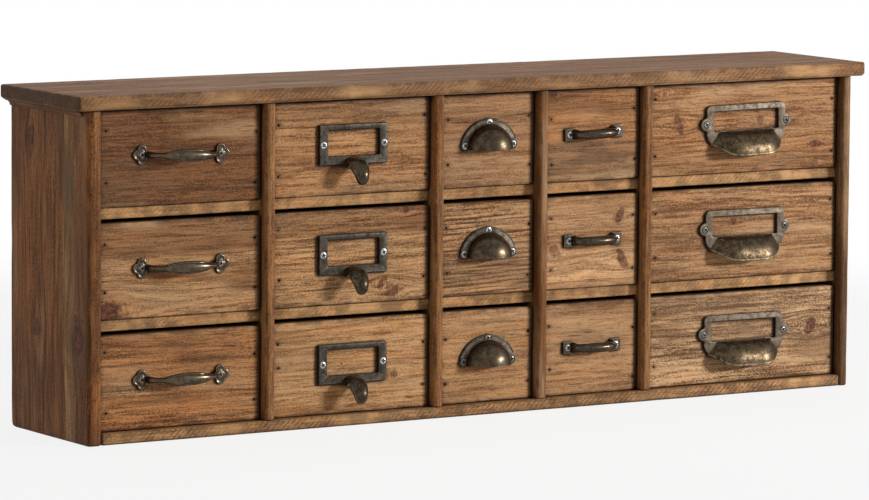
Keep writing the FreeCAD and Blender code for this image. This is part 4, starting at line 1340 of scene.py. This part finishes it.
class CABINET_OT_cup_pulls(bpy.types.Operator):
    """Makes the half-round cup pulls of the third column"""
    bl_idname = "cabinet.cup_pulls"
    bl_label = "Cup pulls"

    def execute(self, context):
        plate, dome = cup_pull_mesh()
        meshes = [dressed(plate, "Cup flange"), dressed(dome, "Dark bronze")]
        put_pulls("c", meshes, context.scene.cabinet_pulls.cup_rise, "dark_bronze")
        return {"FINISHED"}


class CABINET_OT_square_pulls(bpy.types.Operator):
    """Makes the small bow handles with square feet of the fourth column"""
    bl_idname = "cabinet.square_pulls"
    bl_label = "Square-foot bow pulls"

    def execute(self, context):
        mesh = dressed(square_pull_mesh(), "Foot bronze")
        put_pulls("d", [mesh], context.scene.cabinet_pulls.square_rise, "antique_bronze")
        return {"FINISHED"}


class CABINET_OT_scoop_pulls(bpy.types.Operator):
    """Makes the eared card frames with a scoop of the last column"""
    bl_idname = "cabinet.scoop_pulls"
    bl_label = "Scoop pulls"

    def execute(self, context):
        plate, scoop = scoop_pull_mesh()
        meshes = [dressed(plate, "Old pewter"), dressed(scoop, "Worn brass")]
        put_pulls("e", meshes, context.scene.cabinet_pulls.scoop_rise, "old_pewter")
        return {"FINISHED"}


# ---- screws and nails by geometry nodes ----------------------------------------------------------------------
def domed_head(n, given, segments, rings):
    """Flattened ball, of which the upper half is seen."""
    ball = n.add("GeometryNodeMeshUVSphere", {"Segments": segments, "Rings": rings, "Radius": 1.0})
    size = n.pack(given["Radius"], given["Radius"], given["Height"])
    return n.add("GeometryNodeTransform", {"Geometry": ball.outputs["Mesh"], "Scale": size}).outputs[0]


def marked_proud(n, geometry, value):
    """Shape with the value by which its metal is rubbed, or darkened with grime and painted shade."""
    inputs = {"Geometry": geometry, "Name": "proud", "Value": value}
    return n.add("GeometryNodeStoreNamedAttribute", inputs, data_type="FLOAT", domain="POINT").outputs[0]


def random_number(n, low, high, seed):
    """Number drawn for each point."""
    node = n.add("FunctionNodeRandomValue", data_type="FLOAT")
    limits = [s for s in node.inputs if s.type == "VALUE" and s.enabled]
    n.put(limits[0], low)
    n.put(limits[1], high)
    n.put(next(s for s in node.inputs if s.name == "Seed"), seed)
    return next(s for s in node.outputs if s.type == "VALUE" and s.enabled)


def on_points(n, given, result, shape, rotation, scale=(1, 1, 1)):
    """Stands the shape on every point and paints it."""
    spread = n.add("GeometryNodeInstanceOnPoints", {"Points": given["Geometry"], "Instance": shape,
                                                    "Rotation": rotation, "Scale": scale})
    real = n.add("GeometryNodeRealizeInstances", {"Geometry": spread.outputs[0]})
    paint = n.add("GeometryNodeSetMaterial", {"Geometry": real.outputs[0], "Material": given["Material"]})
    n.put(result["Geometry"], paint.outputs[0])


def screw_tree(name):
    """Stands a cross-recessed screw head on every point, each turned its own way, in a ring of painted shade."""
    n, given, result = new_group("GeometryNodeTree", name,
                                 [("Geometry", "Geometry"), ("Radius", "Float"), ("Height", "Float"),
                                  ("Recess", "Float"), ("Seed", "Int"), ("Material", "Material")],
                                 [("Geometry", "Geometry")])
    radius, height, recess = given["Radius"], given["Height"], given["Recess"]
    arm, slot, deep = n.times(radius, 1.25), n.times(radius, 0.42), n.times(recess, 2.0)
    cross = n.add("GeometryNodeMeshBoolean", operation="UNION")
    for long, wide in ((arm, slot), (slot, arm)):
        cube = n.add("GeometryNodeMeshCube", {"Size": n.pack(long, wide, deep)})
        cut = n.add("GeometryNodeTransform", {"Geometry": cube.outputs["Mesh"],
                                              "Translation": n.pack(0.0, 0.0, height)})
        n.put(cross.inputs["Mesh 2"], cut.outputs[0])
    carved = n.add("GeometryNodeMeshBoolean", {"Mesh 1": domed_head(n, given, 28, 14), "Mesh 2": cross.outputs[0]},
                   operation="DIFFERENCE")
    smooth = n.add("GeometryNodeSetShadeSmooth", {"Geometry": carved.outputs[0]})
    place = n.add("GeometryNodeInputPosition").outputs[0]
    # the floor of the cross is marked as a hollow: grime and painted shade in the recess
    floor = n.less(height, n.times(recess, 0.75))
    inside = n.math("LESS_THAN", n.vector("LENGTH", n.vector("MULTIPLY", place, (1, 1, 0))), n.times(radius, 0.7))
    sunk = n.times(n.math("LESS_THAN", n.split(place)[2], floor), inside)
    # a disc round the head, marked as a hollow, paints the shade of the countersink round the screw
    shade_ring = n.add("GeometryNodeMeshCylinder", {"Vertices": 28, "Radius": n.times(radius, 1.22),
                                              "Depth": n.times(height, 0.5)})
    both = n.add("GeometryNodeJoinGeometry")
    n.put(both.inputs[0], marked_proud(n, smooth.outputs[0], n.line(sunk, -1.2, 0.2)))
    n.put(both.inputs[0], marked_proud(n, shade_ring.outputs["Mesh"], -1.0))
    angle = random_number(n, 0.0, math.pi / 2, given["Seed"])
    on_points(n, given, result, both.outputs[0], n.pack(math.pi / 2, angle, 0.0))
    return n.tree


def nail_tree(name):
    """Sets a small domed nail head on every point, each a little larger or smaller."""
    n, given, result = new_group("GeometryNodeTree", name,
                                 [("Geometry", "Geometry"), ("Radius", "Float"), ("Height", "Float"),
                                  ("Variation", "Float", 0.2), ("Seed", "Int"), ("Material", "Material")],
                                 [("Geometry", "Geometry")])
    smooth = n.add("GeometryNodeSetShadeSmooth", {"Geometry": domed_head(n, given, 18, 8)})
    scale = random_number(n, n.less(1.0, given["Variation"]), n.plus(1.0, given["Variation"]), given["Seed"])
    on_points(n, given, result, smooth.outputs[0], n.pack(math.pi / 2, 0.0, 0.0), n.pack(scale, scale, 1.0))
    return n.tree


def grown(name, tree, places, settings):
    """Plain mesh object that a geometry-nodes tree makes from loose points."""
    mesh = bpy.data.meshes.new(name)
    mesh.from_pydata([tuple(p) for p in places], [], [])
    holder = link_object(name + "_points", mesh)
    modifier = holder.modifiers.new(name, "NODES")
    modifier.node_group = tree
    for item in tree.interface.items_tree:
        if item.item_type == "SOCKET" and item.in_out == "INPUT" and item.name in settings:
            modifier[item.identifier] = settings[item.name]
    shape = shape_of(holder, name)
    bpy.data.meshes.remove(mesh)
    shape.name = name
    if not shape.polygons:
        raise RuntimeError(name + ": the node tree made no faces")
    return link_object(name, shape)


# Screw places on each kind of pull: right of and above the pull's middle, and how far out, in mm.
SCREWS = {
    "a": ((-45.6, 0, 1.6), (45.6, 0, 1.6)),
    "b": ((-36.4, 0, 3.3), (36.4, 0, 3.3)),
    "c": ((-29.6, 4.0, 1.7), (29.6, 4.0, 1.7), (0, 27.7, 1.7)),
    "d": ((-30.1, 0, 2.3), (30.1, 0, 2.3)),
    "e": ((-52.0, 0, 2.9), (52.0, 0, 2.9)),
}
BRIGHT_COLUMNS, DULL_DRAWER = "bcd", "drawer_c3"        # zinc screws, but for one drawer that has steel ones
BRIGHT_SCREW_SIZE = 1.15


class CABINET_OT_screws(bpy.types.Operator):
    """Puts the cross-recessed screws into the pulls"""
    bl_idname = "cabinet.screws"
    bl_label = "Pull screws"

    def execute(self, context):
        small = context.scene.cabinet_fasteners
        pulls = context.scene.cabinet_pulls
        rises = dict(zip(COLUMNS, (pulls.lobed_rise, pulls.label_rise, pulls.cup_rise, pulls.square_rise,
                                   pulls.scoop_rise)))
        zinc, steel = metal_material("Screw zinc"), metal_material("Screw steel")
        for drawer, letter, row in drawers():
            stand = hanging(drawer, rises[letter])
            places = [stand @ Vector(place) for place in SCREWS[letter]]
            newer = letter in BRIGHT_COLUMNS
            obj = grown(drawer + "_screws", group(screw_tree, "Screw heads"), places,
                        {"Radius": small.screw_radius * (BRIGHT_SCREW_SIZE if newer else 1.0),
                         "Height": small.screw_height, "Recess": small.screw_recess,
                         "Seed": small.seed + ord(letter) * 7 + row,
                         "Material": zinc if newer and drawer != DULL_DRAWER else steel})
            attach(obj, drawer)
        return {"FINISHED"}


class CABINET_OT_nails(bpy.types.Operator):
    """Drives the four nails of each drawer front"""
    bl_idname = "cabinet.nails"
    bl_label = "Front nails"

    def execute(self, context):
        small = context.scene.cabinet_fasteners
        iron = metal_material("Nail iron")
        for drawer, letter, row in drawers():
            heights = FRONTS["%s%d" % (letter, row)][1]
            obj = grown(drawer + "_nails", group(nail_tree, "Nail heads"), nail_places(drawer, heights),
                        {"Radius": small.nail_radius, "Height": small.nail_height,
                         "Seed": small.seed + ord(letter) * 5 + row, "Material": iron})
            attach(obj, drawer)
        return {"FINISHED"}


# ---- stage -----------------------------------------------------------------------------------------------------
WHITE = (1, 1, 1)
FLOOR_GREY = (0.82, 0.81, 0.80)
FLOOR_DROP = 0.0005             # the floor lies this far below the feet
LAMPS_AIM = Vector((0, 0, 0.17))


def area_light(name, place, size, power, colour, glints=True):
    """Lamp aimed at the cabinet's middle; without glints, metal doesn't mirror it."""
    light = bpy.data.lights.new(name, "AREA")
    light.shape = "RECTANGLE"
    light.size, light.size_y = size
    light.energy = power
    light.color = colour
    obj = link_object(name, light)
    obj.location = place
    obj.rotation_euler = (LAMPS_AIM - Vector(place)).to_track_quat("-Z", "Y").to_euler()
    obj.visible_glossy = glints


def seen_directly(n):
    """1 for rays that come from the camera, or by way of metal or glass."""
    rays = n.add("ShaderNodeLightPath").outputs
    return n.most(rays["Is Camera Ray"], n.most(rays["Is Glossy Ray"], rays["Is Transmission Ray"]))


def floor_material(stage):
    """Matt floor that pales to plain white paper with the distance."""
    material = bpy.data.materials.new("Floor")
    n = blank(material)
    matt = n.add("ShaderNodeBsdfDiffuse", {"Color": FLOOR_GREY})
    paper = n.add("ShaderNodeEmission", {"Color": WHITE, "Strength": 1.0})
    away = n.vector("LENGTH", n.object_place())
    paleness = n.between(away, stage.shadow_reach * 0.6, stage.shadow_reach, stage.floor_paleness, 1.0)
    n.surface(n.add("ShaderNodeMixShader", {0: n.times(seen_directly(n), paleness), 1: matt.outputs[0],
                                            2: paper.outputs[0]}))
    return material


def sky(strength):
    """World that is plain white to look at and lights the scene with the given strength."""
    world = bpy.data.worlds.new("Sky")
    n = blank(world)
    soft = n.add("ShaderNodeBackground", {"Color": WHITE, "Strength": strength})
    white = n.add("ShaderNodeBackground", {"Color": WHITE, "Strength": 1.0})
    n.surface(n.add("ShaderNodeMixShader", {0: seen_directly(n), 1: soft.outputs[0], 2: white.outputs[0]}), "World")
    return world


def camera_object(stage):
    """Camera at its distance from the target, rolled and shifted in its own plane."""
    azimuth, elevation, roll = (math.radians(a) for a in (stage.azimuth, stage.elevation, stage.roll))
    right = Vector((math.cos(azimuth), math.sin(azimuth), 0))
    back = Vector((math.sin(azimuth) * math.cos(elevation), -math.cos(azimuth) * math.cos(elevation),
                   math.sin(elevation)))
    right = math.cos(roll) * right + math.sin(roll) * back.cross(right)
    up = back.cross(right)
    across, along_up = stage.aim_offset
    place = Vector(stage.target) + back * stage.distance + right * across + up * along_up
    data = bpy.data.cameras.new("Camera")
    data.lens = stage.lens
    data.sensor_width = 36.0
    camera = link_object("Camera", data)
    camera.matrix_world = Matrix([(right[i], up[i], back[i], place[i]) for i in range(3)] + [(0, 0, 0, 1)])
    return camera


class CABINET_OT_stage(bpy.types.Operator):
    """Sets the floor, the sky, the lamps and the camera"""
    bl_idname = "cabinet.stage"
    bl_label = "Floor, light and camera"

    def execute(self, context):
        scene = context.scene
        stage = scene.cabinet_stage
        mesh = bpy.data.meshes.new("floor")
        reach, level = stage.floor_reach, CAD_BOX[0][2] - FLOOR_DROP
        corners = [(x * reach, y * reach, level) for x, y in ((-1, -1), (1, -1), (1, 1), (-1, 1))]
        mesh.from_pydata(corners, [], [(0, 1, 2, 3)])
        mesh.materials.append(floor_material(stage))
        floor = link_object("floor", mesh)
        scene.world = sky(stage.sky_strength)
        area_light("Key", (2.95, -2.5, 0.92), (0.7, 0.45), stage.key_power, (1.0, 0.985, 0.96))
        area_light("Fill", (-3.4, -1.9, 1.6), (2.0, 1.8), stage.fill_power, (1.0, 0.93, 0.84), glints=False)
        area_light("Top", (0.2, 0.9, 2.6), (2.4, 1.2), stage.top_power, (1.0, 0.99, 0.98))
        scene.camera = camera_object(stage)
        scene.view_settings.view_transform = "Standard"
        return {"FINISHED"}


# ---- settings, panel and registration ------------------------------------------------------------------------
def number(name, default, description, **limits):
    return FloatProperty(name=name, description=description, default=default, **limits)


def length(name, default, description, top=1.0):
    return number(name, default, description, min=-top, max=top, unit="LENGTH", subtype="DISTANCE")


def watts(name, default, description):
    return number(name, default, description, min=0, unit="POWER")


class CabinetWood(bpy.types.PropertyGroup):
    """Sizes of the boards' eased edges."""
    top_ease: length("Top edge", 0.0026, "Rounding of the top board's arrises")
    arris: length("Arris", 0.0017, "Rounding of a drawer front's or shelf's arrises")
    nose: length("Nose", 0.0048, "Rounding of the front edge of the sides and dividers")
    heel: length("Heel", 0.008, "Rounding of the lower back corner of the sides")
    front_corner: length("Front corner", 0.003, "Typical corner radius of a drawer front's outline")
    edge_wear: length("Edge wear", 0.0012, "How deep the arrises are worn at most")
    nail_inset: length("Nail inset", 0.0064, "Nails from the ends of a drawer front")


class CabinetPulls(bpy.types.PropertyGroup):
    """Heights of the pulls above the middle of a drawer front."""
    lobed_rise: length("Lobed pull", 0.0018, "Height of the bow handle with lobed rosettes")
    label_rise: length("Label pull", 0.0034, "Height of the card frame with a finger")
    cup_rise: length("Cup pull", -0.009, "Height of the cup pull's lip")
    square_rise: length("Square pull", 0.002, "Height of the bow handle with square feet")
    scoop_rise: length("Scoop pull", 0.005, "Height of the eared frame's screws")


class CabinetFasteners(bpy.types.PropertyGroup):
    """Sizes of screws and nails."""
    screw_radius: length("Screw head", 0.0033, "Radius of a screw head")
    screw_height: length("Screw dome", 0.0010, "Height of a screw head's dome")
    screw_recess: length("Screw recess", 0.0008, "Depth of the cross in a screw head")
    nail_radius: length("Nail head", 0.0013, "Radius of a nail head")
    nail_height: length("Nail dome", 0.0002, "Height of a nail head's dome")
    seed: IntProperty(name="Seed", description="Seed of the screws' turns and the nails' sizes", default=4, min=0)


class CabinetStage(bpy.types.PropertyGroup):
    """Camera, lamps and floor."""
    azimuth: number("Azimuth", -31.76, "Camera's bearing in degrees, 0 from the front")
    elevation: number("Elevation", 6.555, "Camera's height angle in degrees")
    roll: number("Roll", 0.418, "Camera's tilt in degrees")
    lens: number("Lens", 230.54, "Focal length in millimetres on a 36 mm sensor")
    distance: length("Distance", 5.903, "Camera to the point it is set from", 50.0)
    target: FloatVectorProperty(name="Target", description="Point the camera is set from", size=3,
                                default=(-0.0003, -0.0006, 0.1775), unit="LENGTH", subtype="XYZ")
    aim_offset: FloatVectorProperty(name="Aim offset", description="Shift of the camera across and up", size=2,
                                    default=(-0.00923, -0.01135), unit="LENGTH", subtype="XYZ")
    key_power: watts("Key", 150.0, "Power of the key lamp in watts")
    fill_power: watts("Fill", 24.0, "Power of the fill lamp in watts")
    top_power: watts("Top", 14.0, "Power of the lamp overhead in watts")
    sky_strength: number("Sky", 0.14, "Strength of the sky's light", min=0)
    shadow_reach: length("Shadow reach", 1.6, "Distance at which the floor has turned plain white", 50.0)
    floor_paleness: number("Floor paleness", 0.85, "How little the floor shows its shadows", min=0, max=1)
    floor_reach: length("Floor reach", 12.0, "Half the width of the floor", 50.0)


OPERATORS = (CABINET_OT_carcass, CABINET_OT_fronts, CABINET_OT_boxes, CABINET_OT_lobed_pulls,
             CABINET_OT_label_pulls, CABINET_OT_cup_pulls, CABINET_OT_square_pulls, CABINET_OT_scoop_pulls,
             CABINET_OT_screws, CABINET_OT_nails, CABINET_OT_stage)
SETTINGS = {"cabinet_wood": CabinetWood, "cabinet_pulls": CabinetPulls, "cabinet_fasteners": CabinetFasteners,
            "cabinet_stage": CabinetStage}


class CABINET_PT_pieces(bpy.types.Panel):
    """Lists the cabinet's pieces and their sizes"""
    bl_idname = "CABINET_PT_pieces"
    bl_label = "Seed cabinet"
    bl_space_type = "VIEW_3D"
    bl_region_type = "UI"
    bl_category = "Cabinet"

    def draw(self, context):
        for operator in OPERATORS:
            self.layout.operator(operator.bl_idname)
        for key in SETTINGS:
            box = self.layout.box()
            settings = getattr(context.scene, key)
            for size in settings.__annotations__:
                box.prop(settings, size)


CLASSES = tuple(SETTINGS.values()) + OPERATORS + (CABINET_PT_pieces,)


def register():
    for item in CLASSES:
        bpy.utils.register_class(item)
    for key, settings in SETTINGS.items():
        setattr(bpy.types.Scene, key, PointerProperty(type=settings))


def unregister():
    for key in SETTINGS:
        delattr(bpy.types.Scene, key)
    for item in reversed(CLASSES):
        bpy.utils.unregister_class(item)


def main():
    register()
    for operator in OPERATORS:
        category, name = operator.bl_idname.split(".")
        getattr(getattr(bpy.ops, category), name)()


if __name__ == "__main__":
    main()
